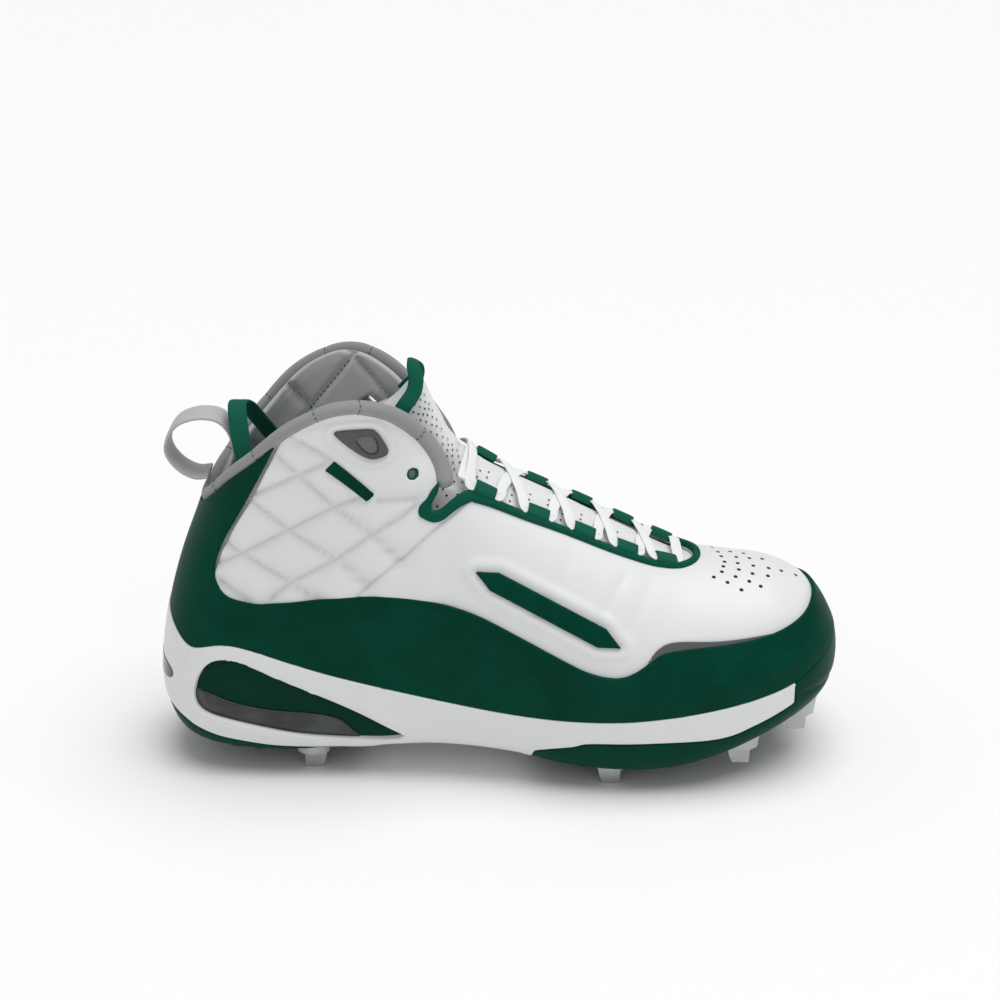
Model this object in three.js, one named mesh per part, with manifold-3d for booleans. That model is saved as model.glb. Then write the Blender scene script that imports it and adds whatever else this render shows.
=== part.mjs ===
// A high-cut baseball cleat for the right foot, standing empty on its metal spikes.
// Millimetres. The toe points along +X, the outer (lateral) side faces -Y, and +Z is up.
import * as THREE from "three";
import { mergeVertices } from "three/addons/utils/BufferGeometryUtils.js";
import Module from "manifold-3d";

const wasm = await Module();
wasm.setup();

// Driving sizes
const LENGTH = 308; // back of the heel to the tip of the toe
const BALL_WIDTH = 107; // across the widest part of the foot
const INSTEP_HEIGHT = 132; // sole's lowest point to the ridge at the instep
const COLLAR_HEIGHT = 172.5; // sole's lowest point to the hump of the collar
const SPIKE_HEIGHT = 8.5; // floor to the sole's lowest point

const GAP = 0.3; // between pieces that touch
const UPPER_WALL = 2.4;
const OVERLAY_RISE = 1.3; // outer face of the mudguard and the trim above the upper
const MIDSOLE_RISE = 1.6; // outer face of the midsole above the upper
const CUSHION_RISE = 1.2; // outer faces of the two pieces in the heel window
const CARRIER_RISE = 0.9;
const PLATE_RISE = 1.5; // outer face of the sole plates
const PLATE_WALL = 4.4;
const TRIM_WIDTH = 2.8; // green trim beside the throat
const THROAT_HALF_WIDTH = 21.7; // middle of the lacing
const INSOLE_THICKNESS = 4;
const ROLL_THICKNESS = 11.4; // padded collar roll, inside to outside
const ROLL_HEIGHT = 8.8;
const LACE_WIDTH = 5;
const LACE_THICKNESS = 1.3;
const LACE_ARCH = 0.2; // how far a crossing stands proud of the last's own curve
const LACE_CLEAR = 3.2; // from a keeper's mouth to where a crossing turns away
const LACE_LEAD = 0.6; // how far the lace runs straight on out of a keeper's mouth
const LACE_STEPS = 2;
const KEEPER_LENGTH = 9.6; // along the edge of the throat
const KEEPER_DEPTH = 7.8; // across it
const KEEPER_WALL = 1;
const KEEPER_SEAT = 2; // how much of its depth lies on the trim
const SPIKE_TIP = 7.5;
const SPIKE_ROOT = 14;
const SPIKE_WIDTH = 2.8;
const SPIKE_DRAFT = 1; // how far the straight edge leans out towards the seat
const SPIKE_BASE = 19; // longer way across the seat of a spike
const SEAT_HEIGHT = 13.6; // before the plate trims it
const SEAT_BOTTOM = 8; // above the spike's tip
const SEAT_SQUASH = 0.62; // its width as a share of its length
const SEAT_FLARE = 2;
const SEAT_SIDES = 10;
const LOOP_WIDTH = 16; // heel pull loop
const LOOP_THICKNESS = 1.8;
const STRAP_WIDTH = 7; // heel finger strap
const STRAP_THICKNESS = 1.8;
const TONGUE_LOOP_WIDTH = 5.5;
const TONGUE_LOOP_THICKNESS = 1.6;
const TONGUE_THICKNESS = 4.6;
const VENT_RISE = 1.6;
const TAG_RISE = 1.1;
const TAG_GAP = 0.2;
const INLAY_RISE = 1.3;
const INLAY_WIDTH = 8.5;
const INLAY_POINT = 9.35; // length of each pointed end
const VENT_HOLE = 5; // across the hole in the collar behind the vent

// Facets of the last: how many round a section, and the rings added where it turns fastest
const ROUND = 24;
const EXTRA_RINGS = [0.5, 1.5, 12.5, 13.5];
const ROLL_STATIONS = 27; // rings along the collar roll
const RIM_SAMPLES = 400; // places tried along the roll's edge
const CURVE_STEPS = 2; // facets between two points of a strap
const TIDY_ANGLE = 1e-6; // below it a corner counts as straight

// Sections of the last, toe to collar. Each lies in a plane across the foot, from a point on the
// bottom or back to a point on the top or front. Places are shares along LENGTH and up the heights,
// half widths are shares of half BALL_WIDTH, widest is the share of the way up where the section is
// widest, and the last two say how square it is below and above that.
const SECTION_COLUMNS = [
  "bottomX", "bottomZ", "topX", "topZ", "lateral", "medial", "widest", "squareBelow", "squareAbove",
];
const LAST = [
  [0.999, 0.32, 0.999, 0.32, 0, 0, 0.5, 2.1, 2.1],
  [0.993, 0.239, 0.994, 0.413, 0.271, 0.29, 0.45, 2.2, 2],
  [0.976, 0.186, 0.975, 0.504, 0.486, 0.523, 0.43, 2.8, 2],
  [0.945, 0.148, 0.945, 0.576, 0.664, 0.692, 0.4, 3.6, 2],
  [0.896, 0.102, 0.896, 0.625, 0.822, 0.822, 0.37, 4.4, 2],
  [0.831, 0.053, 0.831, 0.644, 0.944, 0.916, 0.34, 5.4, 2],
  [0.76, 0.011, 0.76, 0.674, 1.009, 0.972, 0.34, 6, 2],
  [0.682, -0.004, 0.685, 0.754, 1.028, 0.972, 0.34, 6, 2],
  [0.601, 0, 0.61, 0.845, 0.981, 0.916, 0.34, 5.4, 2.05],
  [0.513, 0.027, 0.536, 0.928, 0.907, 0.832, 0.33, 4.6, 2.2],
  [0.403, 0.042, 0.481, 1, 0.832, 0.766, 0.3, 4.4, 2.5],
  [0.273, 0.023, 0.455, 1.173, 0.776, 0.738, 0.26, 4.6, 2.7],
  [0.136, 0.008, 0.442, 1.321, 0.738, 0.72, 0.24, 4.4, 2.7],
  [0.039, 0.042, 0.432, 1.469, 0.71, 0.701, 0.23, 3.3, 2.7],
  [0.002, 0.163, 0.425, 1.605, 0.682, 0.682, 0.24, 2.5, 2.6],
  [0, 0.314, 0.419, 1.728, 0.664, 0.664, 0.26, 2.3, 2.6],
  [0.012, 0.489, 0.412, 1.852, 0.654, 0.654, 0.29, 2.2, 2.6],
  [0.034, 0.67, 0.406, 2, 0.664, 0.664, 0.33, 2.2, 2.5],
  [0.065, 0.86, 0.396, 2.173, 0.701, 0.701, 0.38, 2.2, 2.4],
  [0.094, 1.16, 0.383, 2.395, 0.738, 0.738, 0.44, 2.2, 2.3],
  [0.12, 1.753, 0.367, 2.617, 0.776, 0.776, 0.5, 2.2, 2.2],
];
const LAST_END = LAST.length - 1;
const INSTEP_SECTION = 10; // the first section that belongs to the shaft

// Lines drawn on the side of the shoe: [share along, share up], up over 1 lies between the heights.
const FEATHER_LINE = [ // top edge of the sole, from the heel tab to the toe
  [-0.013, 0.542], [0.006, 0.515], [0.023, 0.473], [0.039, 0.432], [0.054, 0.41], [0.071, 0.427],
  [0.095, 0.442], [0.12, 0.436], [0.17, 0.4], [0.234, 0.348], [0.32, 0.302], [0.43, 0.252],
  [0.54, 0.212], [0.64, 0.213], [0.74, 0.23], [0.85, 0.266], [0.929, 0.303], [0.948, 0.337],
  [0.977, 0.383], [1.006, 0.413],
];
const MUDGUARD_LINE = [ // top edge of the mudguard, from the toe to the horn at the collar
  [1.019, 0.546], [0.981, 0.545], [0.964, 0.538], [0.942, 0.511], [0.9, 0.484], [0.84, 0.465],
  [0.747, 0.456], [0.724, 0.443], [0.701, 0.405], [0.68, 0.382], [0.659, 0.377], [0.63, 0.39],
  [0.6, 0.42], [0.51, 0.527], [0.461, 0.58], [0.4, 0.616], [0.305, 0.625], [0.169, 0.587],
  [0.13, 0.595], [0.107, 0.617], [0.094, 0.659], [0.091, 0.71], [0.104, 0.799], [0.13, 0.905],
  [0.156, 1.037], [0.198, 1.654],
];
const RIM_LINE = [ // lower edge of the collar roll, from the front of the flap to the back
  [0.412, 0.977], [0.411, 1.086], [0.399, 1.284], [0.38, 1.469], [0.351, 1.679], [0.318, 1.815],
  [0.289, 1.864], [0.256, 1.827], [0.205, 1.63], [0.156, 1.309], [0.12, 1.062], [0.09, 0.94],
  [0.068, 0.879], [0.052, 0.86], [-0.036, 0.856],
];
const NOTCH_LINE = [ // the notch between instep and flap, from the front to the flap
  [0.481, 0.97], [0.458, 0.963], [0.445, 0.957], [0.432, 0.94], [0.419, 0.917], [0.409, 0.908],
  [0.402, 0.917], [0.404, 0.94], [0.41, 0.962],
];
const NOTCH_TRIM_LINE = [ // outer edge of the trim round the notch, from the flap to the front
  [0.416, 1.012], [0.403, 0.973], [0.396, 0.947], [0.386, 0.924], [0.385, 0.898], [0.393, 0.883],
  [0.406, 0.873], [0.419, 0.88], [0.432, 0.901], [0.445, 0.92], [0.461, 0.932],
];
const FOREFOOT_PLATE_LINE = [ // top edge of the forefoot plate on the side
  [0.545, -0.049], [0.55, 0.072], [0.565, 0.095], [0.607, 0.117], [0.633, 0.133], [0.724, 0.14],
  [0.818, 0.144], [0.87, 0.178], [0.919, 0.223], [0.927, 0.236],
];
const HEEL_PLATE_LINE = [ // top edge of the heel plate, from the back to the arch
  [-0.036, 0.216], [0.013, 0.163], [0.036, 0.14], [0.052, 0.12], [0.084, 0.091], [0.117, 0.076],
  [0.166, 0.059], [0.224, 0.053], [0.286, 0.049], [0.299, -0.042],
];
const ARCH_PLATE_LINE = [
  [0.315, -0.042], [0.318, 0.063], [0.435, 0.078], [0.526, 0.067], [0.536, -0.042],
];
const BOARD_LINE = [ // where the foot stands inside, heel to toe
  [-0.036, 0.239], [0.11, 0.208], [0.305, 0.17], [0.565, 0.117], [0.695, 0.106], [0.825, 0.14],
  [0.922, 0.212], [1.036, 0.345],
];
const WINDOW_TOP_LINE = [ // heel window, from its round back over the top to its tip
  [0.054, 0.254], [0.058, 0.299], [0.068, 0.345], [0.081, 0.375], [0.097, 0.386], [0.12, 0.38],
  [0.143, 0.36], [0.175, 0.322], [0.221, 0.277], [0.269, 0.231], [0.315, 0.178], [0.347, 0.133],
  [0.367, 0.108],
];
const WINDOW_BOTTOM_LINE = [ // and back along its lower edge
  [0.331, 0.095], [0.299, 0.097], [0.25, 0.102], [0.201, 0.11], [0.153, 0.133], [0.104, 0.159],
  [0.071, 0.178], [0.058, 0.201], [0.054, 0.227],
];
const CUSHION_LINE = [ // top of the cushion inside the window
  [0.049, 0.273], [0.078, 0.254], [0.107, 0.227], [0.14, 0.208], [0.175, 0.197], [0.221, 0.193],
  [0.26, 0.178], [0.276, 0.155], [0.292, 0.11], [0.295, 0.08],
];
const VENT_LINE = [
  [0.269, 1.63], [0.274, 1.679], [0.315, 1.642], [0.326, 1.593], [0.336, 1.494], [0.343, 1.383],
  [0.338, 1.326], [0.321, 1.284], [0.305, 1.333], [0.289, 1.457],
];
const VENT_WINDOW_LINE = [
  [0.299, 1.543], [0.313, 1.58], [0.325, 1.519], [0.33, 1.407], [0.318, 1.363], [0.305, 1.432],
];
const VENT_HOLE_PLACE = [0.316, 1.47];
const TAG_LINE = [[0.269, 1.309], [0.256, 1.21], [0.312, 0.943], [0.323, 0.966]];
const INLAY_ENDS = [[0.465, 0.72], [0.672, 0.475]];

// Edge of the throat seen from above: [share along, share of THROAT_HALF_WIDTH]
const THROAT_EDGE = [
  [0.428, 1.14], [0.458, 1.12], [0.5, 1.06], [0.571, 1], [0.646, 0.96], [0.705, 0.875],
  [0.737, 0.76], [0.763, 0.6], [0.779, 0.39], [0.786, 0.18], [0.788, 0],
];
const THROAT_FLOOR = 0.4; // share up, under the whole throat
const OPENING_FRONT = 0.72; // share along, ahead of the whole collar
const THROAT_TRIM_BACK = 0.432; // share along where the throat's trim becomes the notch's

// Rows of the tongue, toe to top: section of the ridge that it lies under, half angle in degrees,
// depth of its face under the last in the middle and at its edges, share of its full thickness,
// and how many sections lower its edges lie than its middle
const TONGUE_COLUMNS = ["ridge", "angle", "middle", "edge", "thickness", "drop"];
const TONGUE = [
  [4.9, 29, 3.4, 3.6, 0.4, 0],
  [5.6, 31, 3.4, 3.7, 0.55, 0],
  [6.4, 31, 2.8, 3.9, 0.7, 0],
  [7.4, 34, 2, 3.9, 0.85, 0],
  [8.4, 38, 1.6, 3.9, 0.95, 0],
  [9.4, 43, 1.4, 4, 1, 0],
  [10.3, 48, 1.2, 8, 1, 0],
  [11.1, 52, 1, 11, 1, 0],
  [11.8, 56, 1, 11, 1, 0.2],
  [12.6, 60, 1.2, 11, 1, 0.7],
  [13.8, 61, 2.2, 11, 1, 1.3],
  [15, 61, 3.4, 11, 1, 1.9],
  [16.1, 59, 4.7, 11, 1, 2.35],
  [17, 57, 5.8, 11, 0.95, 2.65],
  [17.5, 55, 6.6, 11, 0.6, 2.8],
];
const TONGUE_STRIPS = 10;
const TONGUE_BELOW = 4; // sections searched below and above a row's middle for its edges
const TONGUE_ABOVE = 2;
const TONGUE_FLAT = 0.15; // share of the half width over which the middle depth holds
const TONGUE_FOLD = 0.58; // and where the depth at the edges is reached
const TONGUE_THINNING = 0.45; // share of the thickness lost at the edges
const TONGUE_ROUNDING = 1.5; // power of the drop towards the edges

// Lace keepers along the throat, toe to instep, as shares along LENGTH, and the toe-most bar
const KEEPERS = [0.74, 0.682, 0.62, 0.554, 0.481];
const LACE_END = 0.455; // where the last crossing goes in under the flaps

// Spikes: share along, share of half BALL_WIDTH to the side, share of SPIKE_HEIGHT off the floor,
// and whether its straight edge faces the toe
const SPIKES = [
  { name: "heel", along: 0.222, aside: 0.52, lift: 0, straightEdge: -1 },
  { name: "ball", along: 0.664, aside: 0.8, lift: 0, straightEdge: 1 },
  { name: "front", along: 0.856, aside: 0.67, lift: 0.82, straightEdge: 1 },
  { name: "toe", along: 0.948, aside: 0.26, lift: 1.44, straightEdge: 1 },
];

// Heel pull loop in the middle plane: [share along, share up], from the top of the collar roll out
// behind the shoe and back down inside
const LOOP_LINE = [
  [0.078, 0.96], [0.058, 0.958], [0.037, 0.985], [0.022, 1.1], [0.02, 1.25], [0.034, 1.45],
  [0.058, 1.54], [0.082, 1.55], [0.1, 1.5], [0.113, 1.36], [0.117, 1.15], [0.112, 1.03], [0.1, 0.95],
];
// Finger strap over the back of the collar: share along, share of half BALL_WIDTH to the side, share up
const STRAP_ROUTE = [
  [0.142, -0.35, 1.08], [0.133, -0.29, 1.33], [0.126, -0.16, 1.6], [0.124, 0, 1.68],
  [0.132, 0.15, 1.58], [0.15, 0.27, 1.32], [0.165, 0.36, 1.1],
];
// Finger loop over the top of the tongue, outer end to the middle, in the same three shares
const TONGUE_LOOP_HALF = [
  [0.36, 0.261, 1.7], [0.367, 0.239, 1.77], [0.378, 0.179, 1.879], [0.381, 0.123, 2.015],
  [0.377, 0.067, 2.114], [0.375, 0, 2.153],
];
const TONGUE_LOOP_TILT = -0.8; // rise of its width per unit ahead

const COLOURS = {
  leather: 0xeceded, green: 0x004c38, deepGreen: 0x0b3a2c, grey: 0x8f9192, paleGrey: 0xb9bbbd,
  smoke: 0x3b3d3f, dark: 0x595b5e, steel: 0xc9cbcc, lace: 0xf4f4f4, sole: 0xe4e5e6,
};

// Section of the collar roll: share of ROLL_THICKNESS outwards, share of ROLL_HEIGHT upwards
const ROLL_SECTION = [
  [0.08, 0.05], [0.2, 0.4], [0.07, 0.88], [-0.25, 1.04], [-0.6, 0.86], [-0.78, 0.35],
  [-0.66, -0.9], [-0.28, -0.9],
];

// Places from shares
const along = (share) => (share - 0.5) * LENGTH;
function up(share) {
  const shaft = Math.max(share - 1, 0) * (COLLAR_HEIGHT - INSTEP_HEIGHT);
  return SPIKE_HEIGHT + Math.min(share, 1) * INSTEP_HEIGHT + shaft;
}
const aside = (share) => (share * BALL_WIDTH) / 2;
const onSide = ([a, b]) => new THREE.Vector2(along(a), up(b));

const sideLine = (line) => line.map(onSide);

// The last as a surface
const sectionRows = LAST.map(([bx, bz, tx, tz, l, m, ...shape]) =>
  [along(bx), up(bz), along(tx), up(tz), aside(l), aside(m), ...shape]);
function sectionRow(i) {
  if (i < 0) { // through the tip of the toe and out on the other side
    const [bx, bz, tx, tz, l, m, w, below, above] = sectionRows[1];
    return [tx, tz, bx, bz, -m, -l, 1 - w, above, below];
  }
  if (i > LAST_END) {
    return sectionRows[LAST_END].map((value, k) => 2 * value - sectionRows[LAST_END - 1][k]);
  }
  return sectionRows[i];
}
function section(u) {
  const i = THREE.MathUtils.clamp(Math.floor(u), 0, LAST_END - 1);
  const t = u - i;
  const [p, q, r, s] = [i - 1, i, i + 1, i + 2].map(sectionRow);
  const values = {};
  SECTION_COLUMNS.forEach((column, k) => {
    const slope = (r[k] - p[k]) / 2;
    const nextSlope = (s[k] - q[k]) / 2;
    const rise = r[k] - q[k];
    values[column] = q[k] + t * (slope
      + t * (3 * rise - 2 * slope - nextSlope + t * (slope + nextSlope - 2 * rise)));
  });
  return values;
}
// A point of the last: u runs from the toe to the collar, and angle from the top round the outer
// side (positive) or the inner side (negative) to the bottom at half a turn.
function lastPoint(u, angle) {
  const s = section(u);
  const c = Math.cos(angle);
  const across = Math.sin(angle);
  const power = c >= 0 ? s.squareAbove : s.squareBelow;
  const k = (Math.abs(c) ** power + Math.abs(across) ** power) ** (-1 / power);
  const share = s.widest + (c >= 0 ? 1 - s.widest : s.widest) * k * c;
  const half = across >= 0 ? -s.lateral : -s.medial;
  return new THREE.Vector3(
    s.bottomX + (s.topX - s.bottomX) * share,
    half * k * across,
    s.bottomZ + (s.topZ - s.bottomZ) * share,
  );
}
const NUDGE = 1e-3;
function frame(u, angle) {
  const ahead = lastPoint(u + NUDGE, angle).sub(lastPoint(u - NUDGE, angle)).normalize();
  const around = lastPoint(u, angle + NUDGE).sub(lastPoint(u, angle - NUDGE)).normalize();
  const normal = new THREE.Vector3().crossVectors(ahead, around).normalize();
  return { point: lastPoint(u, angle), normal, ahead, around };
}
function surface(u, angle, rise) {
  if (u <= 0) return lastPoint(0, 0).add(new THREE.Vector3(rise, 0, 0));
  const { point, normal } = frame(u, angle);
  return point.addScaledVector(normal, rise);
}
const ridge = (u) => lastPoint(u, 0);
function bisect(low, high, isBeyond) {
  for (let i = 0; i < 40; i++) {
    const middle = (low + high) / 2;
    if (isBeyond(middle)) high = middle;
    else low = middle;
  }
  return (low + high) / 2;
}
const ridgeAt = (x) => bisect(1, LAST_END, (u) => ridge(u).x < x);
const angleAt = (u, y) => bisect(0, Math.PI / 2, (angle) => -lastPoint(u, angle).y > Math.abs(y));

// The place on the shaft that shows at a point of the side view
function sideToShaft(x, z, side) {
  const u = bisect(INSTEP_SECTION - 1, LAST_END, (v) => {
    const s = section(v);
    return (s.topX - s.bottomX) * (z - s.bottomZ) - (s.topZ - s.bottomZ) * (x - s.bottomX) < 0;
  });
  const s = section(u);
  const dx = s.topX - s.bottomX;
  const dz = s.topZ - s.bottomZ;
  const share = ((x - s.bottomX) * dx + (z - s.bottomZ) * dz) / (dx * dx + dz * dz);
  const isAbove = share >= s.widest;
  const span = isAbove ? 1 - s.widest : s.widest;
  const power = isAbove ? s.squareAbove : s.squareBelow;
  const c = THREE.MathUtils.clamp((share - s.widest) / span, -1, 1);
  const across = (1 - Math.abs(c) ** power) ** (1 / power);
  return { u, angle: side * Math.atan2(across, c), share };
}

// Solids
function solid(geometry) {
  const bare = geometry.clone();
  bare.deleteAttribute("normal");
  bare.deleteAttribute("uv");
  const merged = mergeVertices(bare, 1e-4);
  return new wasm.Manifold(new wasm.Mesh({
    numProp: 3,
    vertProperties: merged.attributes.position.array,
    triVerts: new Uint32Array(merged.index.array),
  }));
}
function closed(points, triangles) {
  return solid(new THREE.BufferGeometry().setFromPoints(points).setIndex(triangles));
}
// Rings of equal length, one after another, closed by a fan at each end
function loft(rings) {
  const n = rings[0].length;
  const middle = (ring) => ring.reduce((sum, p) => sum.add(p), new THREE.Vector3()).divideScalar(n);
  const points = [...rings.flat(), middle(rings[0]), middle(rings.at(-1))];
  const start = points.length - 2;
  const triangles = [];
  for (let j = 0; j < n; j++) {
    const k = (j + 1) % n;
    const base = (rings.length - 1) * n;
    for (let i = 0; i < base; i += n) {
      triangles.push(i + j, i + n + k, i + k, i + j, i + n + j, i + n + k);
    }
    triangles.push(start, j, k, start + 1, base + k, base + j);
  }
  return closed(points, triangles);
}
// A sheet between two grids of points, outer and inner
function slab(outer, inner) {
  const rows = outer.length;
  const columns = outer[0].length;
  const points = [...outer.flat(), ...inner.flat()];
  const at = (i, j, layer) => layer * rows * columns + i * columns + j;
  const triangles = [];
  const quad = (a, b, c, d) => triangles.push(a, b, c, a, c, d);
  for (let i = 0; i + 1 < rows; i++) {
    for (let j = 0; j + 1 < columns; j++) {
      quad(at(i, j, 0), at(i + 1, j, 0), at(i + 1, j + 1, 0), at(i, j + 1, 0));
      quad(at(i, j, 1), at(i, j + 1, 1), at(i + 1, j + 1, 1), at(i + 1, j, 1));
    }
    quad(at(i, 0, 0), at(i, 0, 1), at(i + 1, 0, 1), at(i + 1, 0, 0));
    const end = columns - 1;
    quad(at(i, end, 0), at(i + 1, end, 0), at(i + 1, end, 1), at(i, end, 1));
  }
  const end = rows - 1;
  for (let j = 0; j + 1 < columns; j++) {
    quad(at(0, j, 0), at(0, j + 1, 0), at(0, j + 1, 1), at(0, j, 1));
    quad(at(end, j, 0), at(end, j, 1), at(end, j + 1, 1), at(end, j + 1, 0));
  }
  return closed(points, triangles);
}
// The whole last, grown or shrunk by a distance
const lasts = new Map();
function last(rise) {
  if (!lasts.has(rise)) {
    const rings = [...LAST.keys(), ...EXTRA_RINGS].sort((a, b) => a - b).map((u) =>
      Array.from({ length: ROUND }, (_, j) => surface(u, (2 * Math.PI * j) / ROUND, rise)));
    rings[0] = rings[0].map(() => rings[0][0]);
    lasts.set(rise, tipped(rings));
  }
  return lasts.get(rise);
}
// Like a loft whose first ring is a single point
function tipped(rings) {
  const n = rings[0].length;
  const end = rings.at(-1);
  const middle = end.reduce((sum, p) => sum.add(p), new THREE.Vector3()).divideScalar(n);
  const points = [rings[0][0], ...rings.slice(1).flat(), middle];
  const triangles = [];
  const base = 1 + (rings.length - 2) * n;
  for (let j = 0; j < n; j++) {
    const k = (j + 1) % n;
    triangles.push(0, 1 + j, 1 + k);
    for (let i = 1; i < base; i += n) {
      triangles.push(i + j, i + n + k, i + k, i + j, i + n + j, i + n + k);
    }
    triangles.push(points.length - 1, base + k, base + j);
  }
  return closed(points, triangles);
}
// An outline without the points that lie on a straight stretch
function crisp(outline) {
  return outline.filter((point, i) => {
    const into = point.clone().sub(outline.at(i - 1));
    const out = outline[(i + 1) % outline.length].clone().sub(point);
    return Math.abs(into.cross(out)) > TIDY_ANGLE;
  });
}
// An outline of the side view, right through the shoe or on one side of it only
function sideZone(outline, side = 0) {
  const reach = BALL_WIDTH;
  const geometry = new THREE.ExtrudeGeometry(new THREE.Shape(crisp(outline)), {
    depth: side ? reach : 2 * reach, bevelEnabled: false,
  });
  geometry.rotateX(Math.PI / 2);
  geometry.translate(0, side < 0 ? 0 : reach, 0);
  return solid(geometry);
}
const FAR = 2 * LENGTH;
const raised = (points, dz) => points.map((p) => new THREE.Vector2(p.x, p.y + dz));
const underOutline = (points) => [
  ...points,
  new THREE.Vector2(points.at(-1).x, -FAR),
  new THREE.Vector2(points[0].x, -FAR),
];
const below = (points, dz = 0) => sideZone(underOutline(raised(points, dz)));
const above = (points, dz = 0) => sideZone([
  ...raised(points, dz),
  new THREE.Vector2(points.at(-1).x, FAR),
  new THREE.Vector2(points[0].x, FAR),
]);
const ahead = (x) => sideZone([[x, -FAR], [FAR, -FAR], [FAR, FAR], [x, FAR]]
  .map(([a, b]) => new THREE.Vector2(a, b)));
const shell = (outer, inner) => last(outer).subtract(last(inner));
// An outline grown outwards by a distance
function grown(outline, distance) {
  const turns = THREE.ShapeUtils.area(outline) > 0 ? 1 : -1;
  return outline.map((point, i) => {
    const before = outline.at(i - 1);
    const after = outline[(i + 1) % outline.length];
    const into = point.clone().sub(before).normalize();
    const out = after.clone().sub(point).normalize();
    const normal = new THREE.Vector2(into.y + out.y, -into.x - out.x)
      .multiplyScalar(turns)
      .normalize();
    const miter = Math.max(Math.abs(normal.x * into.y - normal.y * into.x), 0.5);
    return point.clone().addScaledVector(normal, distance / miter);
  });
}

// Lines of the side in millimetres
const feather = sideLine(FEATHER_LINE);
const board = sideLine(BOARD_LINE);
const rim = sideLine(RIM_LINE);
const forefootPlateTop = sideLine(FOREFOOT_PLATE_LINE);
const toeCut = forefootPlateTop.at(-1).x; // front end of the midsole
const footSpace = last(GAP).intersect(above(board));

// The opening of the collar and the notches: everything above this line goes
const openingOutline = [
  ...sideLine(NOTCH_LINE),
  ...rim,
  new THREE.Vector2(rim.at(-1).x, FAR),
  new THREE.Vector2(along(OPENING_FRONT), FAR),
  new THREE.Vector2(along(OPENING_FRONT), up(NOTCH_LINE[0][1])),
];
const opening = sideZone(openingOutline);
const throatEdge = THROAT_EDGE.map(([a, b]) => new THREE.Vector2(along(a), b * THROAT_HALF_WIDTH));
const throatOutline = [
  ...throatEdge,
  ...throatEdge.slice(0, -1).reverse().map((p) => new THREE.Vector2(p.x, -p.y)),
];
function planZone(outline, from) {
  const geometry = new THREE.ExtrudeGeometry(new THREE.Shape(crisp(outline)), {
    depth: FAR, bevelEnabled: false,
  });
  return solid(geometry.translate(0, 0, from));
}
const throatFloor = up(THROAT_FLOOR);
const throat = planZone(throatOutline, throatFloor);

function ventHole() {
  const [x, z] = [along(VENT_HOLE_PLACE[0]), up(VENT_HOLE_PLACE[1])];
  const half = VENT_HOLE / 2;
  return sideZone([
    new THREE.Vector2(x + half, z), new THREE.Vector2(x, z + half),
    new THREE.Vector2(x - half, z), new THREE.Vector2(x, z - half),
  ]);
}

// Pieces of the upper
function makeUpper() {
  return shell(0, -UPPER_WALL)
    .subtract(below(board, GAP))
    .subtract(opening)
    .subtract(throat)
    .subtract(ventHole());
}
function makeMudguard() {
  const guard = sideLine(MUDGUARD_LINE);
  return shell(OVERLAY_RISE, GAP)
    .intersect(above(feather, GAP))
    .subtract(above(guard))
    .subtract(sideZone(grown(openingOutline, GAP)));
}
function makeEyestay() {
  const wide = planZone(grown(throatOutline, TRIM_WIDTH), throatFloor)
    .intersect(ahead(along(THROAT_TRIM_BACK)));
  const trim = sideLine(NOTCH_TRIM_LINE);
  const notch = sideZone([...trim, new THREE.Vector2(trim.at(-1).x, trim[0].y)]);
  return shell(OVERLAY_RISE, GAP)
    .intersect(wide.add(notch))
    .subtract(opening)
    .subtract(throat);
}

// The edge of the collar, from the outer flap round the back to the inner flap
function rimStations(count) {
  const fine = new THREE.SplineCurve(RIM_LINE.map(onSide)).getPoints(RIM_SAMPLES);
  const sideStations = (side) => {
    const list = [];
    for (const p of fine) {
      const place = sideToShaft(p.x, p.y, side);
      if (place.share <= 0) break;
      list.push(place);
    }
    return list;
  };
  const places = [...sideStations(1), ...sideStations(-1).reverse()];
  const frames = places.map(({ u, angle }) => frame(u, angle));
  const lengths = [0];
  for (let i = 1; i < frames.length; i++) {
    lengths.push(lengths[i - 1] + frames[i].point.distanceTo(frames[i - 1].point));
  }
  const stations = [];
  for (let n = 0, i = 0; n < count; n++) {
    const target = (lengths.at(-1) * n) / (count - 1);
    while (i + 2 < lengths.length && lengths[i + 1] < target) i++;
    const t = (target - lengths[i]) / (lengths[i + 1] - lengths[i]);
    stations.push({
      point: frames[i].point.clone().lerp(frames[i + 1].point, t),
      normal: frames[i].normal.clone().lerp(frames[i + 1].normal, t).normalize(),
    });
  }
  stations.forEach((station, i) => {
    const before = stations[Math.max(i - 1, 0)].point;
    const after = stations[Math.min(i + 1, count - 1)].point;
    const way = after.clone().sub(before).normalize();
    station.up = new THREE.Vector3().crossVectors(way, station.normal).normalize();
  });
  return stations;
}
const rimPath = rimStations(ROLL_STATIONS);
const rollPlace = (station, outwards, upwards) => station.point.clone()
  .addScaledVector(station.normal, outwards * ROLL_THICKNESS)
  .addScaledVector(station.up, upwards * ROLL_HEIGHT);
function makeCollar() {
  const roll = loft(rimPath.map((station) =>
    ROLL_SECTION.map(([a, b]) => rollPlace(station, a, b)).reverse()));
  const wall = shell(OVERLAY_RISE + GAP, -UPPER_WALL - GAP)
    .subtract(sideZone(grown(openingOutline, -GAP)));
  return roll.subtract(wall);
}
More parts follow.
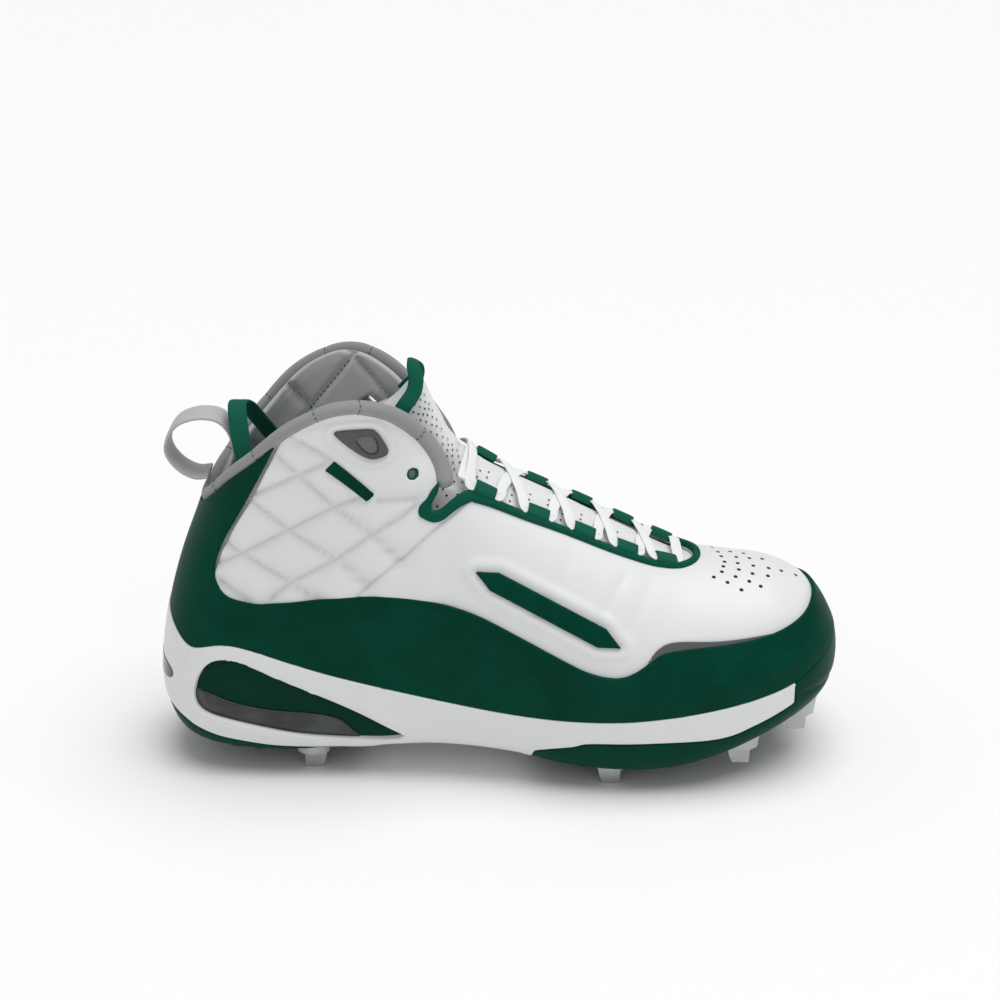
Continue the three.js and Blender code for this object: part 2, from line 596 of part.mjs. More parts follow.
// The tongue lies square to the ridge of the instep, and its top is round
function tongueGrid(extra) {
  return TONGUE.map((row) => {
    const r = Object.fromEntries(TONGUE_COLUMNS.map((column, k) => [column, row[k]]));
    const way = ridge(r.ridge + NUDGE).sub(ridge(r.ridge - NUDGE)).normalize();
    const points = [];
    for (let j = 0; j <= TONGUE_STRIPS; j++) {
      const share = (2 * j) / TONGUE_STRIPS - 1;
      const angle = THREE.MathUtils.degToRad(r.angle) * share;
      const middle = r.ridge - r.drop * Math.abs(share) ** TONGUE_ROUNDING;
      const origin = ridge(middle);
      const u = bisect(middle - TONGUE_BELOW, middle + TONGUE_ABOVE, (v) =>
        lastPoint(v, angle).sub(origin).dot(way) > 0);
      const edge = THREE.MathUtils.smoothstep(Math.abs(share), TONGUE_FLAT, TONGUE_FOLD);
      const depth = THREE.MathUtils.lerp(r.middle, r.edge, edge);
      const thickness = r.thickness * TONGUE_THICKNESS * (1 - TONGUE_THINNING * share ** 4);
      points.push(surface(u, angle, -depth - extra * thickness));
    }
    return points;
  });
}
const makeTongue = () => slab(tongueGrid(0), tongueGrid(1));

// Pieces of the sole
const windowOutline = [...sideLine(WINDOW_TOP_LINE), ...sideLine(WINDOW_BOTTOM_LINE)];
const cushionTop = sideLine(CUSHION_LINE);
const underCushion = below(cushionTop).intersect(sideZone(grown(windowOutline, -GAP)));
const heelOutline = underOutline(sideLine(HEEL_PLATE_LINE));
const archOutline = underOutline(sideLine(ARCH_PLATE_LINE));
const forefootOutline = underOutline([
  ...forefootPlateTop,
  new THREE.Vector2(toeCut, FAR / 2),
  new THREE.Vector2(FAR, FAR / 2),
]);
function makeMidsole() {
  const [heel, arch, forefoot] = [heelOutline, archOutline, forefootOutline]
    .map((outline) => sideZone(grown(outline, GAP)));
  const skin = last(2 * MIDSOLE_RISE).subtract(last(PLATE_RISE - PLATE_WALL - GAP));
  return last(MIDSOLE_RISE)
    .intersect(below(feather))
    .subtract(skin.intersect(heel.add(arch).add(forefoot)))
    .subtract(footSpace)
    .subtract(sideZone(windowOutline));
}
const plate = (zone) =>
  shell(PLATE_RISE, PLATE_RISE - PLATE_WALL).intersect(zone).subtract(footSpace);
const makeForefootPlate = () =>
  plate(sideZone(forefootOutline).intersect(below(feather, -GAP)));
const makeHeelPlate = () => plate(sideZone(heelOutline));
const makeArchPlate = () => plate(sideZone(archOutline));
function makeHeelCushion() {
  return last(CUSHION_RISE).intersect(underCushion).subtract(footSpace);
}
function makeHeelCarrier() {
  return last(CARRIER_RISE)
    .intersect(sideZone(grown(windowOutline, -GAP)))
    .subtract(below(cushionTop, GAP))
    .subtract(footSpace);
}
function makeInsole() {
  return last(-UPPER_WALL - 2 * GAP)
    .intersect(above(board, GAP))
    .intersect(below(board, GAP + INSOLE_THICKNESS));
}

// A spike: a blade with one straight and one curved edge, on a seat shaped to the plate
function makeSpike({ along: a, aside: b, lift, straightEdge }, side) {
  const floor = lift * SPIKE_HEIGHT;
  const tip = SPIKE_TIP / 2;
  const root = SPIKE_ROOT / 2;
  const top = SEAT_BOTTOM + SEAT_HEIGHT;
  const shape = new THREE.Shape();
  shape.moveTo(-tip, 0);
  shape.lineTo(tip, 0);
  shape.lineTo(tip + SPIKE_DRAFT, top);
  shape.lineTo(-root, top);
  shape.quadraticCurveTo(-root, SPIKE_HEIGHT / 2, -tip, 0);
  const blade = new THREE.ExtrudeGeometry(shape, {
    depth: SPIKE_WIDTH, bevelEnabled: false, curveSegments: 4,
  });
  blade.rotateX(Math.PI / 2).translate(0, SPIKE_WIDTH / 2, 0);
  const radius = SPIKE_BASE / 2;
  const seat = new THREE.CylinderGeometry(radius, radius - SEAT_FLARE, SEAT_HEIGHT, SEAT_SIDES);
  seat.rotateX(Math.PI / 2).scale(1, SEAT_SQUASH, 1).translate(0, 0, SEAT_BOTTOM + SEAT_HEIGHT / 2);
  const x = along(a);
  const y = side * aside(b);
  const whole = solid(blade).add(solid(seat));
  const turned = straightEdge > 0 ? whole : whole.rotate([0, 0, 180]);
  return turned.translate([x, y, floor]).subtract(last(PLATE_RISE + GAP));
}

// Laces and their keepers
const EYE_RISE = OVERLAY_RISE + GAP;
const LACE_RISE = EYE_RISE + GAP + LACE_THICKNESS / 2;
function throatHalfWidth(x) {
  const i = Math.max(throatEdge.findIndex((p) => p.x > x), 1);
  const [p, q] = [throatEdge[i - 1], throatEdge[i]];
  return THREE.MathUtils.mapLinear(x, p.x, q.x, p.y, q.y);
}
// A place beside the throat, shifted along the shoe towards the toe
function keeperPlace(share, side, shift = 0) {
  const x = along(share) + shift;
  const u = ridgeAt(x);
  const y = throatHalfWidth(x) + KEEPER_SEAT - KEEPER_DEPTH / 2;
  return { u, angle: side * angleAt(u, y) };
}
// A keeper's own axes: along the edge of the throat, across it, and off the shoe
function keeperAxes(share, side) {
  const { u, angle } = keeperPlace(share, side);
  const behind = keeperPlace(share, side, -KEEPER_LENGTH / 2);
  const { normal, point } = frame(u, angle);
  const way = point.clone().sub(lastPoint(behind.u, behind.angle)).normalize();
  const across = new THREE.Vector3().crossVectors(normal, way).normalize();
  const upwards = new THREE.Vector3().crossVectors(way, across).normalize();
  return { way, across, upwards, origin: surface(u, angle, EYE_RISE) };
}
// A keeper: a flat tunnel along the edge of the throat
function makeKeeper(share, side) {
  const { way, across, upwards, origin } = keeperAxes(share, side);
  const place = new THREE.Matrix4().makeBasis(way, across, upwards).setPosition(origin);
  const tunnel = LACE_THICKNESS + 2 * GAP;
  const height = tunnel + KEEPER_WALL;
  const block = new THREE.BoxGeometry(KEEPER_LENGTH, KEEPER_DEPTH, height).translate(0, 0, height / 2);
  const slot = new THREE.BoxGeometry(2 * KEEPER_LENGTH, KEEPER_DEPTH - 2 * KEEPER_WALL, 2 * tunnel);
  return solid(block).subtract(solid(slot)).transform(place.elements);
}
// A flat band along a list of places and normals
function band(places, width, thickness) {
  return loft(places.map(({ point, normal }, i) => {
    const before = places[Math.max(i - 1, 0)].point;
    const after = places[Math.min(i + 1, places.length - 1)].point;
    const way = after.clone().sub(before).normalize();
    const across = new THREE.Vector3().crossVectors(normal, way).normalize();
    const upwards = new THREE.Vector3().crossVectors(way, across).normalize();
    return [[-1, -1], [-1, 1], [1, 1], [1, -1]].map(([a, b]) => point.clone()
      .addScaledVector(across, (a * width) / 2)
      .addScaledVector(upwards, (b * thickness) / 2));
  }));
}
// Where the lace lies inside a keeper and just past its mouths
function lacePlace(share, side, shift) {
  const { way, upwards, origin } = keeperAxes(share, side);
  const point = origin.clone().addScaledVector(way, shift).addScaledVector(upwards, LACE_RISE - EYE_RISE);
  return { point, normal: upwards };
}
// Where it lies on the last's own curve
function lyingPlace({ u, angle }, rise = 0) {
  return { u, angle, point: surface(u, angle, LACE_RISE + rise), normal: frame(u, angle).normal };
}
function crossing(from, to, arch) {
  const places = [from];
  for (let i = 1; i < LACE_STEPS; i++) {
    const t = i / LACE_STEPS;
    const angle = THREE.MathUtils.lerp(from.angle, to.angle, t);
    places.push(lyingPlace({ u: THREE.MathUtils.lerp(from.u, to.u, t), angle }, arch));
  }
  return band([...places, to], LACE_WIDTH, LACE_THICKNESS);
}
// The lace goes through each keeper along the edge of the throat, and crosses over to the next one
function makeLaces() {
  const mouth = KEEPER_LENGTH / 2;
  const ends = (side, way) => KEEPERS.map((share) =>
    lyingPlace(keeperPlace(share, side, way * (mouth + LACE_CLEAR))));
  const [firstOuter, firstInner] = [1, -1].map((side) => ends(side, 1)[0]);
  let laces = crossing(firstOuter, firstInner, 0);
  for (const side of [1, -1]) {
    const over = LACE_ARCH + (side > 0 ? 0 : LACE_THICKNESS / 2);
    const next = [...ends(-side, 1).slice(1), lyingPlace(keeperPlace(LACE_END, -side))];
    KEEPERS.forEach((share, i) => {
      const [fore, back] = [ends(side, 1)[i], ends(side, -1)[i]];
      const inside = [mouth + LACE_LEAD, -mouth - LACE_LEAD]
        .map((shift) => lacePlace(share, side, shift));
      const through = band([fore, ...inside, back], LACE_WIDTH, LACE_THICKNESS);
      laces = laces.add(through).add(crossing(back, next[i], over));
    });
  }
  return laces;
}

// Webbing
function ribbonPlaces(line) {
  const points = new THREE.SplineCurve(sideLine(line)).getPoints((line.length - 1) * CURVE_STEPS);
  return points.map((p, i) => {
    const before = points[Math.max(i - 1, 0)];
    const after = points[Math.min(i + 1, points.length - 1)];
    const way = after.clone().sub(before);
    return {
      point: new THREE.Vector3(p.x, 0, p.y),
      normal: new THREE.Vector3(-way.y, 0, way.x).normalize(),
    };
  });
}
const makePullLoop = () => band(ribbonPlaces(LOOP_LINE), LOOP_WIDTH, LOOP_THICKNESS);
// A strap through a row of points, its width along one direction
function strap(points, widthWay, width, thickness) {
  const route = new THREE.CatmullRomCurve3(
    points.map(([a, b, c]) => new THREE.Vector3(along(a), aside(b), up(c))),
  ).getPoints((points.length - 1) * CURVE_STEPS);
  return band(route.map((point, i) => {
    const before = route[Math.max(i - 1, 0)];
    const after = route[Math.min(i + 1, route.length - 1)];
    const way = after.clone().sub(before).normalize();
    return { point, normal: new THREE.Vector3().crossVectors(way, widthWay).normalize() };
  }), width, thickness);
}
const makeHeelStrap = () =>
  strap(STRAP_ROUTE, new THREE.Vector3(1, 0, 0), STRAP_WIDTH, STRAP_THICKNESS);
function makeTongueLoop() {
  const otherHalf = TONGUE_LOOP_HALF.slice(0, -1).reverse().map(([a, b, c]) => [a, -b, c]);
  const widthWay = new THREE.Vector3(1, 0, TONGUE_LOOP_TILT);
  return strap([...TONGUE_LOOP_HALF, ...otherHalf], widthWay, TONGUE_LOOP_WIDTH, TONGUE_LOOP_THICKNESS);
}

// Small pieces on the sides
const overlay = (outline, side, rise, gap = GAP) =>
  shell(rise, gap).intersect(sideZone(outline, side));
function makeVent(side) {
  return overlay(VENT_LINE.map(onSide), side, VENT_RISE)
    .subtract(sideZone(VENT_WINDOW_LINE.map(onSide)));
}
const makeTag = () => overlay(TAG_LINE.map(onSide), -1, TAG_RISE, TAG_GAP);
function makeInlay(side) {
  const [from, to] = INLAY_ENDS.map(onSide);
  const way = to.clone().sub(from).normalize();
  const across = new THREE.Vector2(-way.y, way.x).multiplyScalar(INLAY_WIDTH / 2);
  const outline = [
    from,
    from.clone().addScaledVector(way, INLAY_POINT).sub(across),
    to.clone().addScaledVector(way, -INLAY_POINT).sub(across),
    to,
    to.clone().addScaledVector(way, -INLAY_POINT).add(across),
    from.clone().addScaledVector(way, INLAY_POINT).add(across),
  ];
  return overlay(outline, side, INLAY_RISE);
}

// The scene graph
const shoe = new THREE.Group();
const root = new THREE.Group();
root.add(shoe);
function addPiece(name, body, colour, roughness = 0.6, metalness = 0) {
  const { numProp, vertProperties, triVerts } = body.getMesh();
  const geometry = new THREE.BufferGeometry();
  if (numProp !== 3) throw new Error("positions only");
  geometry.setAttribute("position", new THREE.BufferAttribute(vertProperties, 3));
  geometry.setIndex(new THREE.BufferAttribute(triVerts, 1));
  geometry.computeVertexNormals();
  const material = new THREE.MeshStandardMaterial({ color: COLOURS[colour], roughness, metalness });
  const mesh = new THREE.Mesh(geometry, material);
  mesh.name = name;
  shoe.add(mesh);
}
addPiece("upper", makeUpper(), "leather", 0.5);
addPiece("mudguard", makeMudguard(), "green", 0.45);
addPiece("eyestay", makeEyestay(), "green", 0.45);
addPiece("collar", makeCollar(), "grey", 0.9);
addPiece("tongue", makeTongue(), "leather", 0.55);
addPiece("tongue_loop", makeTongueLoop(), "green", 0.8);
addPiece("insole", makeInsole(), "grey", 0.9);
addPiece("midsole", makeMidsole(), "sole", 0.55);
addPiece("heel_cushion", makeHeelCushion(), "smoke", 0.2);
addPiece("heel_carrier", makeHeelCarrier(), "deepGreen", 0.35);
addPiece("heel_plate", makeHeelPlate(), "green", 0.5);
addPiece("arch_plate", makeArchPlate(), "sole", 0.5);
addPiece("forefoot_plate", makeForefootPlate(), "green", 0.5);
for (const spike of SPIKES) {
  addPiece("spike_" + spike.name + "_lateral", makeSpike(spike, -1), "steel", 0.35, 0.9);
  addPiece("spike_" + spike.name + "_medial", makeSpike(spike, 1), "steel", 0.35, 0.9);
}
KEEPERS.forEach((share, i) => {
  addPiece("keeper_lateral_" + (i + 1), makeKeeper(share, 1), "green", 0.8);
  addPiece("keeper_medial_" + (i + 1), makeKeeper(share, -1), "green", 0.8);
});
addPiece("laces", makeLaces(), "lace", 0.9);
addPiece("heel_pull_loop", makePullLoop(), "paleGrey", 0.85);
addPiece("heel_strap", makeHeelStrap(), "green", 0.8);
addPiece("vent_frame_lateral", makeVent(-1), "dark", 0.5);
addPiece("vent_frame_medial", makeVent(1), "paleGrey", 0.5);
addPiece("side_inlay_lateral", makeInlay(-1), "green", 0.4);
addPiece("side_inlay_medial", makeInlay(1), "green", 0.4);
addPiece("side_tag", makeTag(), "green", 0.6);

// The origin is the middle of the footprint, on the floor
const box = new THREE.Box3().setFromObject(shoe);
shoe.position.set(-(box.min.x + box.max.x) / 2, -(box.min.y + box.max.y) / 2, 0);

export default root;
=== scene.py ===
# Builds the looks of a high-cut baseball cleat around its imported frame. Metres, toe along +X,
# the outer side faces -Y, +Z is up. Lines and sections are shares of the shoe's own sizes.
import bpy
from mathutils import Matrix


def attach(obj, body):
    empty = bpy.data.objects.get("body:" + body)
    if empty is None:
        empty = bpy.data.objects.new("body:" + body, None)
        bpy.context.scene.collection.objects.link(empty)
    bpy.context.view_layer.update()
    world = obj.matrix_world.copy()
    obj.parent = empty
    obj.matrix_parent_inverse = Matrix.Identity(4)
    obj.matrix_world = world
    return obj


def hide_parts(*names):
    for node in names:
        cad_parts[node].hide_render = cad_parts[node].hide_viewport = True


bl_info = {
    "name": "Baseball Cleat",
    "version": (1, 0, 0),
    "blender": (4, 5, 0),
    "location": "3D View > Sidebar > Cleat",
    "description": "Upper, sole, spikes, laces and studio of a high-cut baseball cleat",
    "category": "Add Mesh",
}

import math

import bmesh
import bpy
import numpy as np
from bpy.props import FloatProperty, FloatVectorProperty, IntProperty, PointerProperty
from mathutils import Vector

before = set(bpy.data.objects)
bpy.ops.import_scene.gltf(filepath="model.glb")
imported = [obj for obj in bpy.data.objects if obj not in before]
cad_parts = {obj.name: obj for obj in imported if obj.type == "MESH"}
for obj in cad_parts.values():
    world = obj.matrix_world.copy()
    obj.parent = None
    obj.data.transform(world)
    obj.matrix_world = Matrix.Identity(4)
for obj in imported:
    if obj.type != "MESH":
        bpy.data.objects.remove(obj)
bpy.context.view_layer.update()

MM = 0.001
LAST_SHIFT = (0.202, 1.499, 0.0)  # middle of the last in the frame, mm
FAR = 600.0
GAP = 0.3

# Sections of the last, toe to collar: bottom and top point, half widths, and how square it is
LAST = [
    [0.999, 0.32, 0.999, 0.32, 0, 0, 0.5, 2.1, 2.1],
    [0.993, 0.239, 0.994, 0.413, 0.271, 0.29, 0.45, 2.2, 2],
    [0.976, 0.186, 0.975, 0.504, 0.486, 0.523, 0.43, 2.8, 2],
    [0.945, 0.148, 0.945, 0.576, 0.664, 0.692, 0.4, 3.6, 2],
    [0.896, 0.102, 0.896, 0.625, 0.822, 0.822, 0.37, 4.4, 2],
    [0.831, 0.053, 0.831, 0.644, 0.944, 0.916, 0.34, 5.4, 2],
    [0.76, 0.011, 0.76, 0.674, 1.009, 0.972, 0.34, 6, 2],
    [0.682, -0.004, 0.685, 0.754, 1.028, 0.972, 0.34, 6, 2],
    [0.601, 0, 0.61, 0.845, 0.981, 0.916, 0.34, 5.4, 2.05],
    [0.513, 0.027, 0.536, 0.928, 0.907, 0.832, 0.33, 4.6, 2.2],
    [0.403, 0.042, 0.481, 1, 0.832, 0.766, 0.3, 4.4, 2.5],
    [0.273, 0.023, 0.455, 1.173, 0.776, 0.738, 0.26, 4.6, 2.7],
    [0.136, 0.008, 0.442, 1.321, 0.738, 0.72, 0.24, 4.4, 2.7],
    [0.039, 0.042, 0.432, 1.469, 0.71, 0.701, 0.23, 3.3, 2.7],
    [0.002, 0.163, 0.425, 1.605, 0.682, 0.682, 0.24, 2.5, 2.6],
    [0, 0.314, 0.419, 1.728, 0.664, 0.664, 0.26, 2.3, 2.6],
    [0.012, 0.489, 0.412, 1.852, 0.654, 0.654, 0.29, 2.2, 2.6],
    [0.034, 0.67, 0.406, 2, 0.664, 0.664, 0.33, 2.2, 2.5],
    [0.065, 0.86, 0.396, 2.173, 0.701, 0.701, 0.38, 2.2, 2.4],
    [0.094, 1.16, 0.383, 2.395, 0.738, 0.738, 0.44, 2.2, 2.3],
    [0.12, 1.753, 0.367, 2.617, 0.776, 0.776, 0.5, 2.2, 2.2],
]
LAST_END = len(LAST) - 1
SHAFT_START = 10

# Lines on the side of the shoe: share along, share up
FEATHER_LINE = [
    [-0.013, 0.542], [0.006, 0.515], [0.023, 0.473], [0.039, 0.432], [0.054, 0.41], [0.071, 0.427],
    [0.095, 0.442], [0.12, 0.436], [0.17, 0.4], [0.234, 0.348], [0.32, 0.302], [0.43, 0.252],
    [0.54, 0.212], [0.64, 0.213], [0.74, 0.23], [0.85, 0.266], [0.929, 0.303], [0.948, 0.337],
    [0.977, 0.383], [1.006, 0.413],
]
MUDGUARD_LINE = [
    [1.019, 0.546], [0.981, 0.545], [0.964, 0.538], [0.942, 0.511], [0.9, 0.484], [0.84, 0.465],
    [0.747, 0.456], [0.724, 0.443], [0.701, 0.405], [0.68, 0.382], [0.659, 0.377], [0.63, 0.39],
    [0.6, 0.42], [0.51, 0.527], [0.461, 0.58], [0.4, 0.616], [0.305, 0.625], [0.169, 0.587],
    [0.13, 0.595], [0.107, 0.617], [0.094, 0.659], [0.091, 0.71], [0.104, 0.799], [0.13, 0.905],
    [0.156, 1.037], [0.198, 1.654],
]
RIM_LINE = [
    [0.412, 0.977], [0.411, 1.086], [0.399, 1.284], [0.38, 1.469], [0.351, 1.679], [0.318, 1.815],
    [0.289, 1.864], [0.256, 1.827], [0.205, 1.63], [0.156, 1.309], [0.12, 1.062], [0.09, 0.94],
    [0.068, 0.879], [0.052, 0.86], [-0.036, 0.856],
]
NOTCH_LINE = [
    [0.481, 0.97], [0.458, 0.963], [0.445, 0.957], [0.432, 0.94], [0.419, 0.917], [0.409, 0.908],
    [0.402, 0.917], [0.404, 0.94], [0.41, 0.962],
]
NOTCH_TRIM_LINE = [
    [0.416, 1.012], [0.403, 0.973], [0.396, 0.947], [0.386, 0.924], [0.385, 0.898], [0.393, 0.883],
    [0.406, 0.873], [0.419, 0.88], [0.432, 0.901], [0.445, 0.92], [0.461, 0.932],
]
FOREFOOT_PLATE_LINE = [
    [0.545, -0.049], [0.55, 0.072], [0.565, 0.095], [0.607, 0.117], [0.633, 0.133], [0.724, 0.14],
    [0.818, 0.144], [0.87, 0.178], [0.919, 0.223], [0.927, 0.236],
]
HEEL_PLATE_LINE = [
    [-0.036, 0.216], [0.013, 0.163], [0.036, 0.14], [0.052, 0.12], [0.084, 0.091], [0.117, 0.076],
    [0.166, 0.059], [0.224, 0.053], [0.286, 0.049], [0.299, -0.042],
]
ARCH_PLATE_LINE = [
    [0.315, -0.042], [0.318, 0.063], [0.435, 0.078], [0.526, 0.067], [0.536, -0.042],
]
BOARD_LINE = [
    [-0.036, 0.239], [0.11, 0.208], [0.305, 0.17], [0.565, 0.117], [0.695, 0.106], [0.825, 0.14],
    [0.922, 0.212], [1.036, 0.345],
]
WINDOW_LINE = [
    [0.054, 0.254], [0.058, 0.299], [0.068, 0.345], [0.081, 0.375], [0.097, 0.386], [0.12, 0.38],
    [0.143, 0.36], [0.175, 0.322], [0.221, 0.277], [0.269, 0.231], [0.315, 0.178], [0.347, 0.133],
    [0.367, 0.108], [0.331, 0.095], [0.299, 0.097], [0.25, 0.102], [0.201, 0.11], [0.153, 0.133],
    [0.104, 0.159], [0.071, 0.178], [0.058, 0.201], [0.054, 0.227],
]
CUSHION_LINE = [
    [0.03, 0.28], [0.049, 0.273], [0.078, 0.254], [0.107, 0.227], [0.14, 0.208], [0.175, 0.197],
    [0.221, 0.193], [0.26, 0.178], [0.276, 0.155], [0.292, 0.11], [0.295, 0.08],
]
VENT_LINE = [
    [0.269, 1.63], [0.274, 1.679], [0.315, 1.642], [0.326, 1.593], [0.336, 1.494], [0.343, 1.383],
    [0.338, 1.326], [0.321, 1.284], [0.305, 1.333], [0.289, 1.457],
]
VENT_WINDOW_LINE = [
    [0.299, 1.543], [0.313, 1.58], [0.325, 1.519], [0.33, 1.407], [0.318, 1.363], [0.305, 1.432],
]
BADGE_LINE = [  # along and up, mm
    (-71, 167), (-69, 168), (-56, 167), (-53, 165.5), (-49, 158), (-48, 155), (-49.5, 153), (-54, 152),
    (-58, 153), (-64, 158), (-70, 165),
]
BADGE_WINDOW = [(-62, 163.5), (-56, 164), (-53.5, 162), (-52.5, 156), (-55, 154.5), (-58, 156), (-61.5, 161)]
TAG_LINE = [[0.269, 1.309], [0.256, 1.21], [0.312, 0.943], [0.323, 0.966]]
INLAY_ENDS = [[0.465, 0.72], [0.672, 0.475]]
THROAT_EDGE = [
    [0.428, 1.14], [0.458, 1.12], [0.5, 1.06], [0.571, 1], [0.646, 0.96], [0.705, 0.875],
    [0.737, 0.76], [0.763, 0.6], [0.779, 0.39], [0.786, 0.18], [0.788, 0],
]
OPENING_FRONT = 0.72
THROAT_TRIM_BACK = 0.432
TONGUE = [
    [4.9, 29, 3.2, 3.4, 0.4, 0], [5.6, 31, 2.6, 3.2, 0.55, 0], [6.4, 33, 1.9, 3.1, 0.7, 0],
    [7.4, 36, 1.4, 3.1, 0.85, 0], [8.4, 40, 1.3, 3.2, 0.95, 0], [9.4, 44, 1.5, 3.6, 1, 0],
    [10.3, 48, 2.2, 8, 1, 0], [11.1, 52, 3, 11, 1, 0], [11.8, 56, 3.6, 11, 1, 0.2],
    [12.6, 60, 4.1, 11, 1, 0.7], [13.8, 61, 4.7, 11, 1, 1.3], [15, 61, 5.2, 11, 1, 1.9],
    [16.1, 59, 5.6, 11, 1, 2.35], [17, 57, 6.1, 11, 0.95, 2.65], [17.5, 55, 6.6, 11, 0.6, 2.8],
]
TONGUE_FLAT = 0.15
TONGUE_FOLD = 0.58
TONGUE_THINNING = 0.45
TONGUE_ROUNDING = 1.5
KEEPERS = [0.74, 0.682, 0.62, 0.554, 0.481]
LACE_END = 0.455
LOOP_LINE = [
    [0.078, 0.96], [0.058, 0.958], [0.037, 0.985], [0.022, 1.1], [0.02, 1.25], [0.034, 1.45],
    [0.058, 1.54], [0.082, 1.55], [0.1, 1.5], [0.113, 1.36], [0.117, 1.15], [0.112, 1.03],
    [0.1, 0.95],
]
STRAP_ROUTE = [
    [0.142, -0.35, 1.08], [0.133, -0.29, 1.33], [0.126, -0.16, 1.6], [0.124, 0, 1.68],
    [0.132, 0.15, 1.58], [0.15, 0.27, 1.32], [0.165, 0.36, 1.1],
]
TONGUE_LOOP_HALF = [
    [0.36, 0.261, 1.7], [0.367, 0.239, 1.77], [0.378, 0.179, 1.879], [0.381, 0.123, 2.015],
    [0.377, 0.067, 2.114], [0.375, 0, 2.153],
]
ROLL_SECTION = [
    [0.06, 0.02], [0.15, 0.4], [0.06, 0.85], [-0.2, 1.02], [-0.5, 0.86], [-0.62, 0.35],
    [-0.5, -0.22], [-0.22, -0.24],
]


def colour(name, value, note):
    return FloatVectorProperty(
        name=name, description=note, default=value, subtype="COLOR", size=3, min=0.0, max=1.0
    )


def length(name, value, note):
    return FloatProperty(name=name, description=note, default=value * MM, unit="LENGTH", min=0.0)


class CleatSizes(bpy.types.PropertyGroup):
    length: length("Length", 308, "Back of the heel to the tip of the toe")
    ball_width: length("Ball width", 107, "Across the widest part of the foot")
    instep_height: length("Instep height", 132, "Lowest point of the sole to the instep")
    collar_height: length("Collar height", 172.5, "Lowest point of the sole to the collar's hump")
    spike_height: length("Spike height", 8.5, "Floor to the lowest point of the sole")
    upper_wall: length("Upper wall", 2.4, "Thickness of the leather and its backing")
    overlay_rise: length("Overlay rise", 1.3, "Outer face of the green skin above the leather")
    midsole_rise: length("Midsole rise", 1.6, "Outer face of the midsole above the upper")
    plate_rise: length("Plate rise", 1.5, "Outer face of the sole plates above the last")
    plate_wall: length("Plate wall", 4.4, "Thickness of the sole plates")
    trim_width: length("Piping width", 2.8, "Green piping round the throat")
    throat_half_width: length("Throat half width", 21.7, "Half the gap between the eyestays")
    roll_thickness: length("Roll thickness", 11.4, "Collar roll, inside to outside")
    roll_height: length("Roll height", 8.8, "Height of the collar roll")
    tongue_thickness: length("Tongue thickness", 4.6, "Padding of the tongue")
    insole_thickness: length("Insole thickness", 4, "Thickness of the sockliner")
    keeper_length: length("Keeper length", 9.6, "Lace keeper along the throat")
    keeper_depth: length("Keeper depth", 7.8, "Lace keeper across the throat's edge")
    keeper_tab: length("Keeper tab", 6.4, "Part of a keeper's depth that its webbing covers")
    keeper_wall: length("Keeper wall", 1, "Thickness of the keeper's webbing")
    keeper_seat: length("Keeper seat", 2, "How much of the keeper lies on the piping")
    lace_width: length("Lace width", 4.4, "Width of the flat lace")
    lace_thickness: length("Lace thickness", 1, "Thickness of the flat lace")
    lace_clear: length("Lace clearance", 0.9, "From a keeper's mouth to where the lace turns")
    loop_width: length("Pull loop width", 16, "Heel pull loop")
    strap_width: length("Heel strap width", 7, "Finger strap over the collar's back")
    tongue_loop_width: length("Tongue loop width", 5.5, "Finger loop over the tongue")
    webbing_thickness: length("Webbing thickness", 1.8, "Pull loop and straps")
    inlay_width: length("Inlay width", 8.5, "Lozenge on the side")
    inlay_point: length("Inlay point", 9.35, "Length of each pointed end of the lozenge")
    quilt_depth: length("Quilt depth", 1.4, "How deep the quilting channels are pressed")
    stitch_pitch: length("Stitch pitch", 2.6, "From one stitch to the next")
    stitch_length: length("Stitch length", 1.9, "Length of one stitch")
    thread_width: length("Thread width", 0.5, "Thickness of the sewing thread")
    perforation_width: length("Perforation width", 1.9, "Air holes over the toes")
    pinhole_width: length("Pinhole width", 1, "Pinholes of the tongue")
    grid_step: length("Grid step", 1.25, "Spacing of the points on the large pieces")


class CleatColours(bpy.types.PropertyGroup):
    leather: colour("Leather", (0.8, 0.805, 0.81), "White upper and tongue")
    green_skin: colour("Green skin", (0.0, 0.047, 0.028), "Mudguard, inlay and tag")
    lining: colour("Lining", (0.3, 0.305, 0.31), "Grey knit of the collar")
    webbing: colour("Green webbing", (0.0, 0.1, 0.062), "Keepers, piping and finger straps")
    pull_loop: colour("Grey webbing", (0.5, 0.5, 0.505), "Heel pull loop")
    lace: colour("Lace", (0.86, 0.865, 0.87), "Laces")
    sole: colour("Midsole", (0.78, 0.785, 0.79), "White midsole")
    plate: colour("Plate", (0.0, 0.045, 0.027), "Green sole plates")
    smoke: colour("Smoke", (0.03, 0.036, 0.034), "Cushion in the heel window")
    carrier: colour("Carrier", (0.0, 0.034, 0.02), "Block in the heel window")
    dark_trim: colour("Dark trim", (0.1, 0.103, 0.107), "Vent frame and toe strip")
    steel: colour("Steel", (0.5, 0.51, 0.51), "Spikes")
    thread: colour("Dark thread", (0.004, 0.05, 0.03), "Quilting of the lining")
    # Painted shade: the perforations and pinholes are flat discs in this colour, standing in for the shade inside the
    # holes.
    hole: colour("Hole", (0.02, 0.021, 0.022), "Inside of the perforations")
    floor: colour("Floor", (0.97, 0.97, 0.97), "Studio floor")


def sizes():
    return bpy.context.scene.cleat_sizes


def colours():
    return bpy.context.scene.cleat_colours


# The last and the lines drawn on it, in millimetres


def unit_vectors(vectors):
    return vectors / np.maximum(np.linalg.norm(vectors, axis=-1, keepdims=True), 1e-12)


